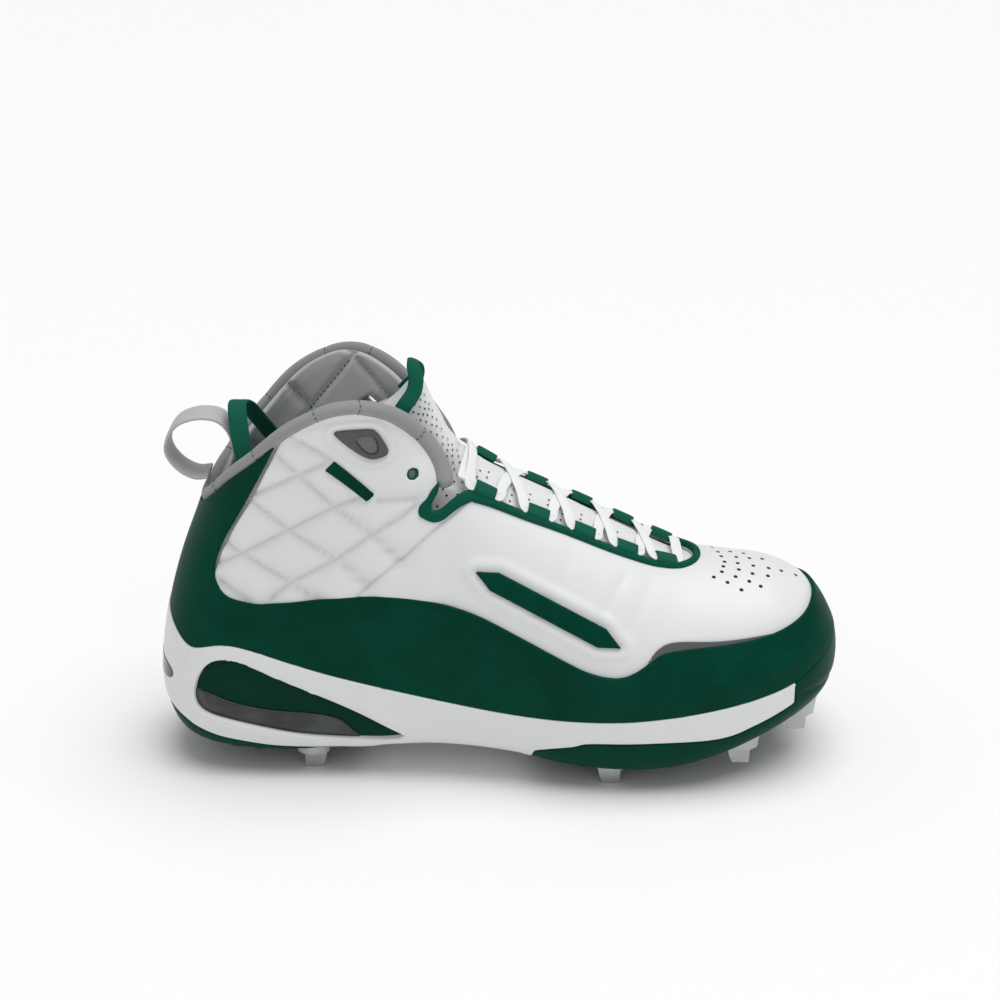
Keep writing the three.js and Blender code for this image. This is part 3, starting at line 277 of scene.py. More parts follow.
def flow(points, per=8, closed=False):
    """A smooth line through the points."""
    p = np.asarray(points, float)
    if closed:
        p = np.vstack([p[-1], p, p[0], p[1]])
    else:
        p = np.vstack([2 * p[0] - p[1], p, 2 * p[-1] - p[-2]])
    a, b, c, d = (p[i:len(p) - 3 + i, None] for i in range(4))
    t = np.linspace(0, 1, per, endpoint=False)[None, :, None]
    curve = b + t * ((c - a) / 2 + t * (a - 2.5 * b + 2 * c - d / 2 + t * (1.5 * (b - c) + (d - a) / 2)))
    curve = curve.reshape(-1, p.shape[1])
    return curve if closed else np.vstack([curve, p[-2]])


def bisect(low, high, is_beyond):
    low = np.array(low, float)
    high = np.array(high, float)
    for _ in range(36):
        middle = (low + high) / 2
        beyond = is_beyond(middle)
        high = np.where(beyond, middle, high)
        low = np.where(beyond, low, middle)
    return (low + high) / 2


def smoothstep(value, low, high):
    t = np.clip((value - low) / (high - low), 0, 1)
    return t * t * (3 - 2 * t)


class Last:
    """The form of the foot. u runs from the toe to the collar, and angle from the top round the
    outer side (positive) or the inner side (negative) to the bottom at half a turn."""

    def __init__(self, s):
        self.length = s.length / MM
        self.ball = s.ball_width / MM
        self.instep = s.instep_height / MM
        self.collar = s.collar_height / MM
        self.lift = s.spike_height / MM
        table = np.array(LAST, float)
        rows = table.copy()
        rows[:, 0] = self.along(table[:, 0])
        rows[:, 1] = self.up(table[:, 1])
        rows[:, 2] = self.along(table[:, 2])
        rows[:, 3] = self.up(table[:, 3])
        rows[:, 4:6] = self.aside(table[:, 4:6])
        r = rows[1]
        before = [r[2], r[3], r[0], r[1], -r[5], -r[4], 1 - r[6], r[8], r[7]]
        self.knots = np.vstack([before, rows, 2 * rows[-1] - rows[-2]])

    def along(self, share):
        return (np.asarray(share) - 0.5) * self.length

    def up(self, share):
        share = np.asarray(share)
        shaft = np.maximum(share - 1, 0) * (self.collar - self.instep)
        return self.lift + np.minimum(share, 1) * self.instep + shaft

    def aside(self, share):
        return np.asarray(share) * self.ball / 2

    def line(self, table, per=6, closed=False):
        t = np.array(table, float)
        points = np.stack([self.along(t[:, 0]), self.up(t[:, 1])], 1)
        return flow(points, per, closed) if per > 1 else points

    def section(self, u):
        i = np.clip(np.floor(u), 0, LAST_END - 1).astype(int)
        t = (u - i)[..., None]
        p, q, r, s = (self.knots[i + k] for k in range(4))
        slope = (r - p) / 2
        next_slope = (s - q) / 2
        rise = r - q
        return q + t * (slope + t * (3 * rise - 2 * slope - next_slope + t * (slope + next_slope - 2 * rise)))

    def point(self, u, angle):
        u, angle = np.broadcast_arrays(np.asarray(u, float), np.asarray(angle, float))
        s = np.moveaxis(self.section(u), -1, 0)
        c = np.cos(angle)
        across = np.sin(angle)
        power = np.where(c >= 0, s[8], s[7])
        k = (np.abs(c) ** power + np.abs(across) ** power) ** (-1 / power)
        share = s[6] + np.where(c >= 0, 1 - s[6], s[6]) * k * c
        half = np.where(across >= 0, -s[4], -s[5])
        x = s[0] + (s[2] - s[0]) * share
        z = s[1] + (s[3] - s[1]) * share
        return np.stack([x, half * k * across, z], -1)

    def normal(self, u, angle):
        nudge = 1e-3
        ahead = self.point(u + nudge, angle) - self.point(u - nudge, angle)
        around = self.point(u, angle + nudge) - self.point(u, angle - nudge)
        made = unit_vectors(np.cross(ahead, around))
        tip = np.broadcast_to(np.asarray(u), made.shape[:-1]) < 1e-6
        return np.where(tip[..., None], np.array([1.0, 0, 0]), made)

    def surface(self, u, angle, rise):
        rise = np.asarray(rise, float)
        return self.point(u, angle) + self.normal(u, angle) * rise[..., None]

    def ridge_at(self, x):
        return bisect(1, LAST_END, lambda u: self.point(u, 0)[..., 0] < x)

    def angle_at(self, u, y):
        return bisect(0, math.pi / 2, lambda a: -self.point(u, a)[..., 1] > abs(y))

    def side_place(self, x, z, side):
        """The place on the shaft that shows at a point of the side view."""
        x = np.asarray(x, float)
        z = np.asarray(z, float)

        def is_beyond(u):
            s = np.moveaxis(self.section(u), -1, 0)
            return (s[2] - s[0]) * (z - s[1]) - (s[3] - s[1]) * (x - s[0]) < 0

        u = bisect(np.full(x.shape, SHAFT_START - 1.0), np.full(x.shape, float(LAST_END)), is_beyond)
        s = np.moveaxis(self.section(u), -1, 0)
        dx = s[2] - s[0]
        dz = s[3] - s[1]
        share = ((x - s[0]) * dx + (z - s[1]) * dz) / (dx * dx + dz * dz)
        above = share >= s[6]
        power = np.where(above, s[8], s[7])
        c = np.clip((share - s[6]) / np.where(above, 1 - s[6], s[6]), -1, 1)
        across = (1 - np.abs(c) ** power) ** (1 / power)
        return u, side * np.arctan2(across, c), share


def nearest(line, x, z, closed=False):
    """Distance from each point to a line of the side view, and whether an outline holds it."""
    a = np.asarray(line, float)
    b = np.roll(a, -1, 0) if closed else a[1:]
    a = a if closed else a[:-1]
    away = np.empty(len(x))
    held = np.zeros(len(x), bool)
    for start in range(0, len(x), 6000):
        part = slice(start, start + 6000)
        px = x[part, None] - a[None, :, 0]
        pz = z[part, None] - a[None, :, 1]
        ex, ez = (b - a)[:, 0], (b - a)[:, 1]
        t = np.clip((px * ex + pz * ez) / np.maximum(ex * ex + ez * ez, 1e-12), 0, 1)
        away[part] = np.sqrt(((px - t * ex) ** 2 + (pz - t * ez) ** 2).min(1))
        if closed:
            spans = (a[None, :, 1] > z[part, None]) != (b[None, :, 1] > z[part, None])
            with np.errstate(divide="ignore", invalid="ignore"):
                meets = px < ex * pz / ez
            held[part] = (spans & meets).sum(1) % 2 == 1
    return away, held


def within(outline, x, z):
    """Distance to the edge of an outline, positive inside it."""
    shape = x.shape
    away, held = nearest(outline, x.ravel(), z.ravel(), closed=True)
    return np.where(held, away, -away).reshape(shape)


def away_from(line, x, z):
    return nearest(line, x.ravel(), z.ravel())[0].reshape(x.shape)


def over(line):
    return np.vstack([line, [line[-1][0], FAR], [line[0][0], FAR]])


def under(line):
    return np.vstack([line, [line[-1][0], -FAR], [line[0][0], -FAR]])


def eased(outline, rounds=3):
    """A closed outline with its corners cut round."""
    for _ in range(rounds):
        after = np.roll(outline, -1, 0)
        outline = np.stack([outline * 0.75 + after * 0.25, outline * 0.25 + after * 0.75], 1).reshape(-1, 2)
    return outline


def calmed(line, rounds, closed=False):
    """A line with small waves taken out; an open one keeps its ends."""
    for _ in range(rounds):
        if closed:
            line = (np.roll(line, 1, 0) + 2 * line + np.roll(line, -1, 0)) / 4
        else:
            line = np.vstack([line[:1], (line[:-2] + 2 * line[1:-1] + line[2:]) / 4, line[-1:]])
    return line


class Lines:
    """Outlines of the shoe's panels in the side view and from above."""

    def __init__(self, last, s):
        self.feather = calmed(last.line(FEATHER_LINE), 30)
        self.over_feather = over(self.feather)
        self.guard = calmed(last.line(MUDGUARD_LINE), 4)
        self.over_guard = over(self.guard)
        rim = last.line(RIM_LINE)
        front = last.along(OPENING_FRONT)
        corner = last.up(NOTCH_LINE[0][1])
        self.opening = np.vstack([
            last.line(NOTCH_LINE), rim, [rim[-1][0], FAR], [front, FAR], [front, corner],
        ])
        trim = last.line(NOTCH_TRIM_LINE)
        self.notch = np.vstack([trim, [trim[-1][0], trim[0][1]]])
        edge = np.array(THROAT_EDGE)
        mirrored = edge[:-1][::-1] * [1, -1]
        edge = flow(np.vstack([edge, mirrored]), 6)
        self.throat = np.stack([last.along(edge[:, 0]), edge[:, 1] * s.throat_half_width / MM], 1)
        self.trim_back = last.along(THROAT_TRIM_BACK)
        self.board = last.line(BOARD_LINE)
        self.heel = under(last.line(HEEL_PLATE_LINE))
        self.arch = under(last.line(ARCH_PLATE_LINE))
        plate = last.line(FOREFOOT_PLATE_LINE)
        self.forefoot = under(np.vstack([plate, [plate[-1][0], FAR / 2], [FAR, FAR / 2]]))
        self.window = calmed(last.line(WINDOW_LINE, closed=True), 18, True)
        self.cushion = calmed(last.line(CUSHION_LINE), 10)
        self.vent = eased(np.array(BADGE_LINE, float))
        self.vent_window = eased(np.array(BADGE_WINDOW, float), 2)
        self.tag = last.line(TAG_LINE, per=1)
        start, end = last.line(INLAY_ENDS, per=1)
        way = unit_vectors(end - start)
        half = np.array([-way[1], way[0]]) * s.inlay_width / MM / 2
        point = way * s.inlay_point / MM
        self.inlay = np.array([
            start, start + point - half, end - point - half, end, end - point + half, start + point + half,
        ])


KEPT = {}


def last_and_lines():
    s = sizes()
    key = tuple(getattr(s, name) for name in s.bl_rna.properties.keys() if name != "rna_type" and name != "name")
    if KEPT.get("key") != key:
        KEPT["key"] = key
        KEPT["last"] = Last(s)
        KEPT["lines"] = Lines(KEPT["last"], s)
    return KEPT["last"], KEPT["lines"]


# Pieces cut from the last's own surface


def cut(q, tris, values, drop):
    """Cuts triangles along values = 0. Rows of q are interpolated; drop leaves out the low side."""
    values = np.where(np.abs(values) < 1e-9, 1e-9, values)
    high = values > 0
    count = high[tris].sum(1)
    mixed = (count == 1) | (count == 2)
    crossed = tris[mixed]
    lone = count[mixed] == 1
    odd = np.argmax(high[crossed] == lone[:, None], axis=1)
    m = np.take_along_axis(crossed, (odd[:, None] + np.arange(3)) % 3, 1)
    pairs = np.vstack([m[:, [0, 1]], m[:, [0, 2]]])
    ordered = np.sort(pairs, 1)
    keys, place = np.unique(ordered[:, 0] * len(q) + ordered[:, 1], return_inverse=True)
    a, b = keys // len(q), keys % len(q)
    t = (values[a] / (values[a] - values[b]))[:, None]
    new = q[a] * (1 - t) + q[b] * t
    ids = len(q) + place.ravel()
    p, r = ids[:len(m)], ids[len(m):]
    corners = np.stack([m[:, 0], p, r], 1)
    rests = np.vstack([np.stack([p, m[:, 1], m[:, 2]], 1), np.stack([p, m[:, 2], r], 1)])
    high_side = [tris[count == 3], corners[lone], rests[np.tile(~lone, 2)]]
    low_side = [tris[count == 0], corners[~lone], rests[np.tile(lone, 2)]]
    kept = np.vstack(high_side if drop else high_side + low_side)
    return np.vstack([q, new]), kept


def true_distance(field, points):
    """A field of the side view as a distance along the curved surface."""
    fu, fa = np.gradient(field)
    pu = np.stack(np.gradient(points, axis=0), 0)
    pa = np.stack(np.gradient(points, axis=1), 0)
    e = (pu * pu).sum(-1)
    g = (pa * pa).sum(-1)
    f = (pu * pa).sum(-1)
    slope = np.sqrt(np.abs(g * fu * fu - 2 * f * fu * fa + e * fa * fa) / np.maximum(e * g - f * f, 1e-9))
    return field / np.clip(slope, 0.3, 1.0)


ALL_ROUND = (-math.pi, math.pi)


def grid(last, us, angles, step):
    rows = max(int((us[1] - us[0]) * last.length / 21 / step), 6)
    columns = max(int((angles[1] - angles[0]) * 48 / step), 6)
    return np.meshgrid(np.linspace(*us, rows), np.linspace(*angles, columns), indexing="ij")


def cover(last, field, step, edge=0.0, sides=(-1, 1)):
    """Places on the last where field is positive: rows u, angle, distance to the edge; and triangles."""
    u, a = grid(last, (0, LAST_END + 0.6), ALL_ROUND, 3.0)
    coarse = field(last.point(u, a), a)
    wanted = coarse > -4.0
    if len(sides) == 1:
        wanted &= a * -sides[0] > -0.02
    us = (u[wanted].min(), u[wanted].max())
    angles = (a[wanted].min(), a[wanted].max())
    u, a = grid(last, us, angles, step)
    points = last.point(u, a)
    d = true_distance(field(points, a), points)
    if len(sides) == 1:
        d = np.where(a * -sides[0] > 0, d, -1.0)
    rows, columns = u.shape
    ids = np.arange(rows * columns).reshape(rows, columns)
    p, q, r, t = ids[:-1, :-1], ids[1:, :-1], ids[1:, 1:], ids[:-1, 1:]
    tris = np.vstack([
        np.stack([p, q, r], -1).reshape(-1, 3),
        np.stack([p, r, t], -1).reshape(-1, 3),
    ])
    places = np.stack([u, a, d], -1).reshape(-1, 3)
    places, tris = cut(places, tris, places[:, 2], True)
    for share in (0.12, 0.35, 0.65, 1.0) if edge else ():
        places, tris = cut(places, tris, places[:, 2] - share * edge, False)
    used, tris = np.unique(tris, return_inverse=True)
    return places[used], tris.reshape(-1, 3)


def rounded(d, edge):
    t = np.clip(d / edge, 0, 1) if edge else np.ones_like(d)
    return np.sqrt(np.maximum(1 - (1 - t) ** 2, 0))


def weld(points, tris, tolerance=2e-3):
    keys = np.round(points / tolerance).astype(np.int64)
    _, first, place = np.unique(keys, axis=0, return_index=True, return_inverse=True)
    tris = place.ravel()[tris]
    sound = (tris[:, 0] != tris[:, 1]) & (tris[:, 1] != tris[:, 2]) & (tris[:, 2] != tris[:, 0])
    return first, tris[sound]


def skin(last, places, tris, outer, inner, wall_rows=1):
    """A closed shell between two heights over the last."""
    first, tris = weld(last.point(places[:, 0], places[:, 1]), tris)
    places = places[first]
    outer = np.broadcast_to(outer, len(first))[...] if np.ndim(outer) == 0 else outer[first]
    inner = np.broadcast_to(inner, len(first))[...] if np.ndim(inner) == 0 else inner[first]
    n = len(places)
    normal = last.normal(places[:, 0], places[:, 1])
    base = last.point(places[:, 0], places[:, 1])
    points = [base + normal * outer[:, None], base + normal * inner[:, None]]
    edges = np.vstack([tris[:, [0, 1]], tris[:, [1, 2]], tris[:, [2, 0]]])
    keys = edges[:, 0] * n + edges[:, 1]
    twins = edges[:, 1] * n + edges[:, 0]
    rim = edges[~np.isin(keys, twins)]
    i, j = rim[:, 0], rim[:, 1]
    walls = np.vstack([np.stack([j, i, i + n], 1), np.stack([j, i + n, j + n], 1)])
    return np.vstack(points), np.vstack([tris, tris[:, ::-1] + n, walls])


def make_object(name, points, faces, materials, uv=None, sharp=35.0, index=None):
    """A finished piece: points in the last's millimetres, at the origin of the frame."""
    mesh = bpy.data.meshes.new(name)
    points = (np.asarray(points, float) + LAST_SHIFT) * MM
    mesh.from_pydata(points, [], np.asarray(faces).tolist() if not isinstance(faces, list) else faces)
    if uv is not None:
        layer = mesh.uv_layers.new(name="weave")
        loops = np.empty(len(mesh.loops), int)
        mesh.loops.foreach_get("vertex_index", loops)
        layer.data.foreach_set("uv", (np.asarray(uv)[loops] * MM).ravel())
    mesh.validate()
    for material in materials:
        mesh.materials.append(material)
    if index is not None:
        mesh.polygons.foreach_set("material_index", index)
    piece = bpy.data.objects.new(name, mesh)
    bpy.context.collection.objects.link(piece)
    mesh.shade_smooth()
    mesh.set_sharp_from_angle(angle=math.radians(sharp))
    return piece


def settle(piece, slot, *nodes):
    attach(piece, "root")
    if nodes:
        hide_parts(*nodes)
    return piece


# Finishes


class Value:
    """A socket that carries a number or a vector, with the usual signs."""

    def __init__(self, paint, socket):
        self.paint = paint
        self.socket = socket

    def maths(self, operation, *others):
        node = self.paint.tree.nodes.new("ShaderNodeMath")
        node.operation = operation
        for slot_in, value in zip(node.inputs, (self, *others)):
            self.paint.feed(slot_in, value)
        return Value(self.paint, node.outputs[0])

    def __add__(self, other):
        return self.maths("ADD", other)

    def __sub__(self, other):
        return self.maths("SUBTRACT", other)

    def __mul__(self, other):
        return self.maths("MULTIPLY", other)

    def __pow__(self, other):
        return self.maths("POWER", other)

    def __rsub__(self, other):
        return (self * -1.0) + other

    __radd__ = __add__
    __rmul__ = __mul__

    def between(self, low, high):
        node = self.paint.node(
            "ShaderNodeMapRange", {"interpolation_type": "SMOOTHSTEP"},
            {"Value": self, "From Min": low, "From Max": high},
        )
        return node["Result"]


class Paint:
    """One finish and its nodes."""

    def __init__(self, name):
        self.material = bpy.data.materials.new(name)
        self.material.use_nodes = True
        self.tree = self.material.node_tree
        self.shader = self.tree.nodes["Principled BSDF"]

    def feed(self, socket, value):
        if isinstance(value, Value):
            self.tree.links.new(value.socket, socket)
        else:
            socket.default_value = value

    def node(self, kind, settings=None, values=None):
        node = self.tree.nodes.new(kind)
        for name, value in (settings or {}).items():
            if name == "stops":
                ramp = node.color_ramp
                while len(ramp.elements) < len(value):
                    ramp.elements.new(0.5)
                for element, (at, tint) in zip(ramp.elements, value):
                    element.position = at
                    element.color = (*tint, 1.0)
            else:
                setattr(node, name, value)
        for name, value in (values or {}).items():
            self.feed(node.inputs[name], value)
        return {s.name: Value(self, s) for s in node.outputs if s.enabled}

    def place(self, scale=(1, 1, 1), turn=(0, 0, 0)):
        where = self.node("ShaderNodeTexCoord")["Object"]
        return self.node(
            "ShaderNodeMapping", None, {"Vector": where, "Scale": scale, "Rotation": turn}
        )["Vector"]

    def along_cloth(self):
        return self.node("ShaderNodeUVMap", {"uv_map": "weave"})["UV"]

    def noise(self, where, scale, detail=4.0, roughness=0.55):
        return self.node(
            "ShaderNodeTexNoise", None,
            {"Vector": where, "Scale": scale, "Detail": detail, "Roughness": roughness},
        )["Fac"]

    def cells(self, where, scale, feature="F1"):
        return self.node(
            "ShaderNodeTexVoronoi", {"feature": feature}, {"Vector": where, "Scale": scale}
        )["Distance"]

    def wave(self, where, scale, direction="X", distortion=0.0):
        return self.node(
            "ShaderNodeTexWave", {"bands_direction": direction},
            {"Vector": where, "Scale": scale, "Distortion": distortion},
        )["Fac"]

    def mix(self, share, low, high):
        node = self.tree.nodes.new("ShaderNodeMix")
        node.data_type = "RGBA"
        self.feed(node.inputs[0], share)
        self.feed(node.inputs[6], low if isinstance(low, Value) else (*low, 1.0))
        self.feed(node.inputs[7], high if isinstance(high, Value) else (*high, 1.0))
        return Value(self, node.outputs[2])

    def finish(self, base, rough, height=None, depth=0.0001, bump=1.0, **constants):
        self.feed(self.shader.inputs["Base Color"], base if isinstance(base, Value) else (*base, 1.0))
        self.feed(self.shader.inputs["Roughness"], rough)
        if height is not None:
            normal = self.node(
                "ShaderNodeBump", None, {"Height": height, "Distance": depth, "Strength": bump}
            )["Normal"]
            self.feed(self.shader.inputs["Normal"], normal)
        for name, value in constants.items():
            self.shader.inputs[name.replace("_", " ").title().replace("Ior", "IOR")].default_value = value
        return self.material


def shade(tint, factor):
    return tuple(min(channel * factor, 1.0) for channel in tint)


def leather_finish(c):
    p = Paint("white_leather")
    where = p.place()
    grain = p.cells(where, 1100.0)
    pores = p.noise(where, 2600.0, 3.0)
    broad = p.noise(where, 26.0, 3.0)
    handling = p.noise(where, 90.0, 5.0, 0.6)
    base = p.mix(broad * 0.5 + handling * 0.3, shade(c.leather, 0.97), shade(c.leather, 1.03))
    # Painted shade: the pressed attribute darkens the leather's colour in the quilting channels, along the quarter
    # seam and round the inlay and the badge.
    pressed = p.node("ShaderNodeAttribute", {"attribute_name": "pressed"})["Fac"]
    base = p.mix(pressed * 0.34, base, shade(c.leather, 0.42))
    rough = handling * 0.14 + 0.34
    return p.finish(base, rough, grain * 0.6 + pores * 0.4 + broad * 0.6, 0.00008, 0.45,
                    coat_weight=0.06, coat_roughness=0.35)


def green_skin_finish(c):
    p = Paint("green_skin")
    where = p.place()
    grain = p.cells(where, 1500.0)
    mottle = p.noise(where, 34.0, 5.0, 0.62)
    marks = p.noise(p.place((1.0, 1.0, 2.4)), 130.0, 6.0, 0.7)
    worn = marks.between(0.6, 0.78)
    base = p.mix(mottle.between(0.32, 0.7), shade(c.green_skin, 0.82), shade(c.green_skin, 1.16))
    base = p.mix(worn * 0.22, base, shade(c.green_skin, 2.4))
    rough = mottle * 0.18 + worn * 0.12 + 0.4
    return p.finish(base, rough, grain * 0.5 + mottle * 0.9, 0.00012, 0.45, specular_ior_level=0.05)


def knit_finish(name, tint, scale=900.0):
    p = Paint(name)
    where = p.place()
    loops = p.wave(where, scale / 3, "X", 1.2) * 0.5 + p.wave(where, scale / 3, "Z", 1.2) * 0.5
    fuzz = p.noise(where, scale * 2.5, 4.0, 0.7)
    broad = p.noise(where, 45.0, 4.0)
    base = p.mix(fuzz * 0.45 + broad * 0.4 + loops * 0.15, shade(tint, 0.86), shade(tint, 1.12))
    return p.finish(base, 0.9, loops * 0.5 + fuzz * 0.7, 0.00014, 0.5,
                    sheen_weight=0.1, sheen_roughness=0.5, specular_ior_level=0.25)


def webbing_finish(name, tint, pitch=0.0007, gloss=0.75, contrast=0.16):
    p = Paint(name)
    weave = p.along_cloth()
    ribs = p.wave(weave, 0.16 / pitch, "X")
    cross = p.wave(weave, 0.16 / pitch, "Y", 0.4)
    fuzz = p.noise(p.place(), 1900.0, 4.0, 0.65)
    pattern = ribs * 0.55 + cross * 0.45
    base = p.mix(pattern * 0.7 + fuzz * 0.3, shade(tint, 1 - contrast), shade(tint, 1 + contrast / 2))
    return p.finish(base, fuzz * 0.1 + gloss, pattern * 0.8 + fuzz * 0.35, 0.00014, 0.5,
                    sheen_weight=0.06, sheen_roughness=0.45, specular_ior_level=0.2)


def sole_finish(c):
    p = Paint("white_midsole")
    where = p.place()
    broad = p.noise(where, 20.0, 4.0)
    stipple = p.noise(where, 1500.0, 3.0)
    smudge = p.noise(p.place((1.0, 1.0, 2.0)), 60.0, 6.0, 0.65).between(0.58, 0.8)
    base = p.mix(broad, shade(c.sole, 0.97), shade(c.sole, 1.03))
    base = p.mix(smudge * 0.1, base, (0.42, 0.41, 0.4))
    return p.finish(base, smudge * 0.16 + 0.42, stipple * 0.5 + broad, 0.00006, 0.35,
                    coat_weight=0.05, coat_roughness=0.4)


def moulded_finish(name, tint, rough=0.42, wear=0.15, shine=0.2):
    p = Paint(name)
    where = p.place()
    broad = p.noise(where, 40.0, 4.0)
    stipple = p.noise(where, 1300.0, 3.0)
    worn = p.noise(where, 150.0, 6.0, 0.7).between(0.6, 0.8)
    base = p.mix(broad, shade(tint, 0.85), shade(tint, 1.12))
    base = p.mix(worn * wear, base, shade(tint, 2.2))
    return p.finish(base, worn * 0.15 + rough, stipple * 0.6 + broad * 0.6, 0.00007, 0.4,
                    specular_ior_level=shine)


def smoke_finish(c):
    p = Paint("smoky_cushion")
    where = p.place((1.0, 1.0, 1.5))
    cloud = p.noise(where, 55.0, 2.0, 0.5)
    base = p.mix(cloud.between(0.35, 0.7), shade(c.smoke, 0.6), shade(c.smoke, 1.4))
    return p.finish(base, cloud * 0.1 + 0.16, cloud, 0.00012, 0.2, specular_ior_level=0.3,
                    coat_weight=0.3, coat_roughness=0.1)


def steel_finish(c):
    p = Paint("spike_steel")
    brushed = p.noise(p.place((1.0, 1.0, 0.06)), 1400.0, 4.0)
    broad = p.noise(p.place(), 120.0, 4.0)
    base = p.mix(broad, shade(c.steel, 0.85), shade(c.steel, 1.1))
    return p.finish(base, brushed * 0.2 + 0.26, brushed, 0.00005, 0.35, metallic=0.75)


def plain_finish(name, tint, rough):
    p = Paint(name)
    grain = p.noise(p.place(), 2500.0, 3.0)
    return p.finish(p.mix(grain, shade(tint, 0.85), shade(tint, 1.15)), rough, grain, 0.00005, 0.4)


FINISHES = {}


def finish_named(name):
    c = colours()
    makers = {
        "leather": lambda: leather_finish(c),
        "green_skin": lambda: green_skin_finish(c),
        "lining": lambda: knit_finish("grey_lining", c.lining),
        # Painted light: a copy of the lining colour made 1.6 times lighter, since the lining inside the shoe lies in
        # shade.
        "lightened_lining": lambda: knit_finish("lightened_lining", shade(c.lining, 1.6)),
        "green_webbing": lambda: webbing_finish("green_webbing", c.webbing),
        "green_webbing_trim": lambda: moulded_finish("green_piping", shade(c.webbing, 0.8), 0.5, 0.05, 0.1),
        "grey_webbing": lambda: webbing_finish("grey_webbing", c.pull_loop, 0.0008, 0.45, 0.12),
        "lace": lambda: webbing_finish("flat_lace", c.lace, 0.0006, 0.7, 0.07),
        "sole": lambda: sole_finish(c),
        "plate": lambda: moulded_finish("green_plate", c.plate, shine=0.06),
        "shank": lambda: moulded_finish("white_shank", c.sole, 0.4, 0.05),
        "carrier": lambda: moulded_finish("heel_carrier", c.carrier, 0.3, 0.03, 0.06),
        "grey_bed": lambda: moulded_finish("badge_bed", shade(c.dark_trim, 1.7), 0.4, 0.12),
        "smoke": lambda: smoke_finish(c),
        "dark_trim": lambda: moulded_finish("dark_trim", c.dark_trim, 0.5, 0.1),
        "pale_trim": lambda: moulded_finish("pale_trim", shade(c.dark_trim, 2.6), 0.45, 0.05),
        "steel": lambda: steel_finish(c),
        "thread": lambda: plain_finish("dark_thread", c.thread, 0.7),
        "white_thread": lambda: plain_finish("white_thread", shade(c.leather, 0.9), 0.6),
        "green_thread": lambda: plain_finish("green_thread", shade(c.green_skin, 1.25), 0.6),
        # Painted shade: dark discs in place of the inside of the holes.
        "hole": lambda: plain_finish("hole", c.hole, 0.9),
    }
    if name not in FINISHES:
        FINISHES[name] = makers[name]()
    return FINISHES[name]


# The upper's panels


def trough(x, z, line, width, depth):
    """A soft channel pressed along a line; a negative depth gives a ridge."""
    away = away_from(flow(line, 6), x, z)
    return -depth * np.exp(-((away / width) ** 2))


# Channels of the ankle quilting, in millimetres from the middle of the last and above the floor
QUILT_DOWN = [
    [(-96, 158), (-87, 148), (-72, 131), (-56, 118), (-44, 107)],
    [(-108, 136), (-92, 121), (-84, 115), (-72, 107), (-58, 96)],
    [(-120, 115), (-113, 110), (-92, 96), (-81, 89)],
    [(-123, 96), (-111, 87)],
]
QUILT_UP = [
    [(-124, 105), (-113, 110), (-92, 121), (-72, 131), (-61, 135)],
    [(-108, 138), (-87, 147), (-75, 152)],
    [(-101, 88), (-92, 96), (-72, 107), (-56, 118), (-41, 127), (-36, 131)],
    [(-90, 167), (-80, 160), (-73, 154)],
    [(-53, 133), (-36, 133)],
]
QUARTER_SEAM = [(-14, 136), (-16, 131), (-26, 123), (-35, 115), (-45, 106), (-55, 98), (-62, 91)]
FLEX_CREASES = [
    ([(54, 96), (47, 88), (42, 80)], 2.2, 0.5),
    ([(66, 92), (61, 84), (57, 78)], 3.0, 0.35),
    ([(30, 106), (22, 95), (17, 86)], 4.0, 0.35),
]
TOE_EDGE = [(108, 96), (118, 90), (126, 83), (132, 78)]


def ankle_quilt(x, z, depth):
    """Pressed channels with puffs between them, fading out at the panel's edges."""
    away = np.full(x.shape, FAR)
    for line in QUILT_DOWN + QUILT_UP:
        away = np.minimum(away, away_from(flow(line, 6), x, z))
    panel = smoothstep(-x, 22, 34) * smoothstep(z, 80, 92)
    channel = 0.55 * np.exp(-((away / 2.8) ** 2)) + 0.45 * np.exp(-((away / 0.95) ** 2))
    return depth * panel * (0.75 * smoothstep(away, 1, 11) - channel)


def channel_shade_share(x, z, lines):
    """How deep in a pressed line a place on the leather lies, 0 to 1: the share of painted shade that darkens the
    leather's colour in the quilting channels, along the quarter seam and round the inlay and the badge.
    """
    away = np.full(x.shape, FAR)
    for line in QUILT_DOWN + QUILT_UP:
        away = np.minimum(away, away_from(flow(line, 6), x, z))
    panel = smoothstep(-x, 22, 30) * smoothstep(z, 82, 90)
    seam = away_from(flow(QUARTER_SEAM, 6), x, z)
    inlay = within(lines.inlay, x, z) + 0.8
    badge = within(lines.vent, x, z) + 4.2
    return np.clip(
        panel * (0.5 * np.exp(-((away / 1.15) ** 2)) + 0.25 * np.exp(-((away / 3.2) ** 2)))
        + 0.8 * np.exp(-((seam / 0.95) ** 2)) + 0.5 * np.exp(-((inlay / 0.9) ** 2))
        + 0.3 * np.exp(-((badge / 0.9) ** 2)), 0, 1)


def leather_relief(x, z, lines, s):
    depth = s.quilt_depth / MM
    h = ankle_quilt(x, z, depth)
    h += trough(x, z, QUARTER_SEAM, 0.9, 1.0)
    for line, width, deep in FLEX_CREASES:
        h += trough(x, z, line, width, deep)
    border = within(lines.inlay, x, z)
    h += 1.1 * np.exp(-(((border + 3.2) / 2.0) ** 2))
    badge = within(lines.vent, x, z)
    h *= smoothstep(-within(lines.opening, x, z), 1.0, 6.0) * smoothstep(-badge, -0.5, 3.0)
    h *= smoothstep(-within(lines.tag, x, z), -0.5, 2.5)
    h -= 0.45 * np.exp(-(((badge + 4.2) / 0.9) ** 2))
    guard = -within(lines.over_guard, x, z)
    h += 0.4 * smoothstep(-guard, 0, 5) - 0.4
    return h


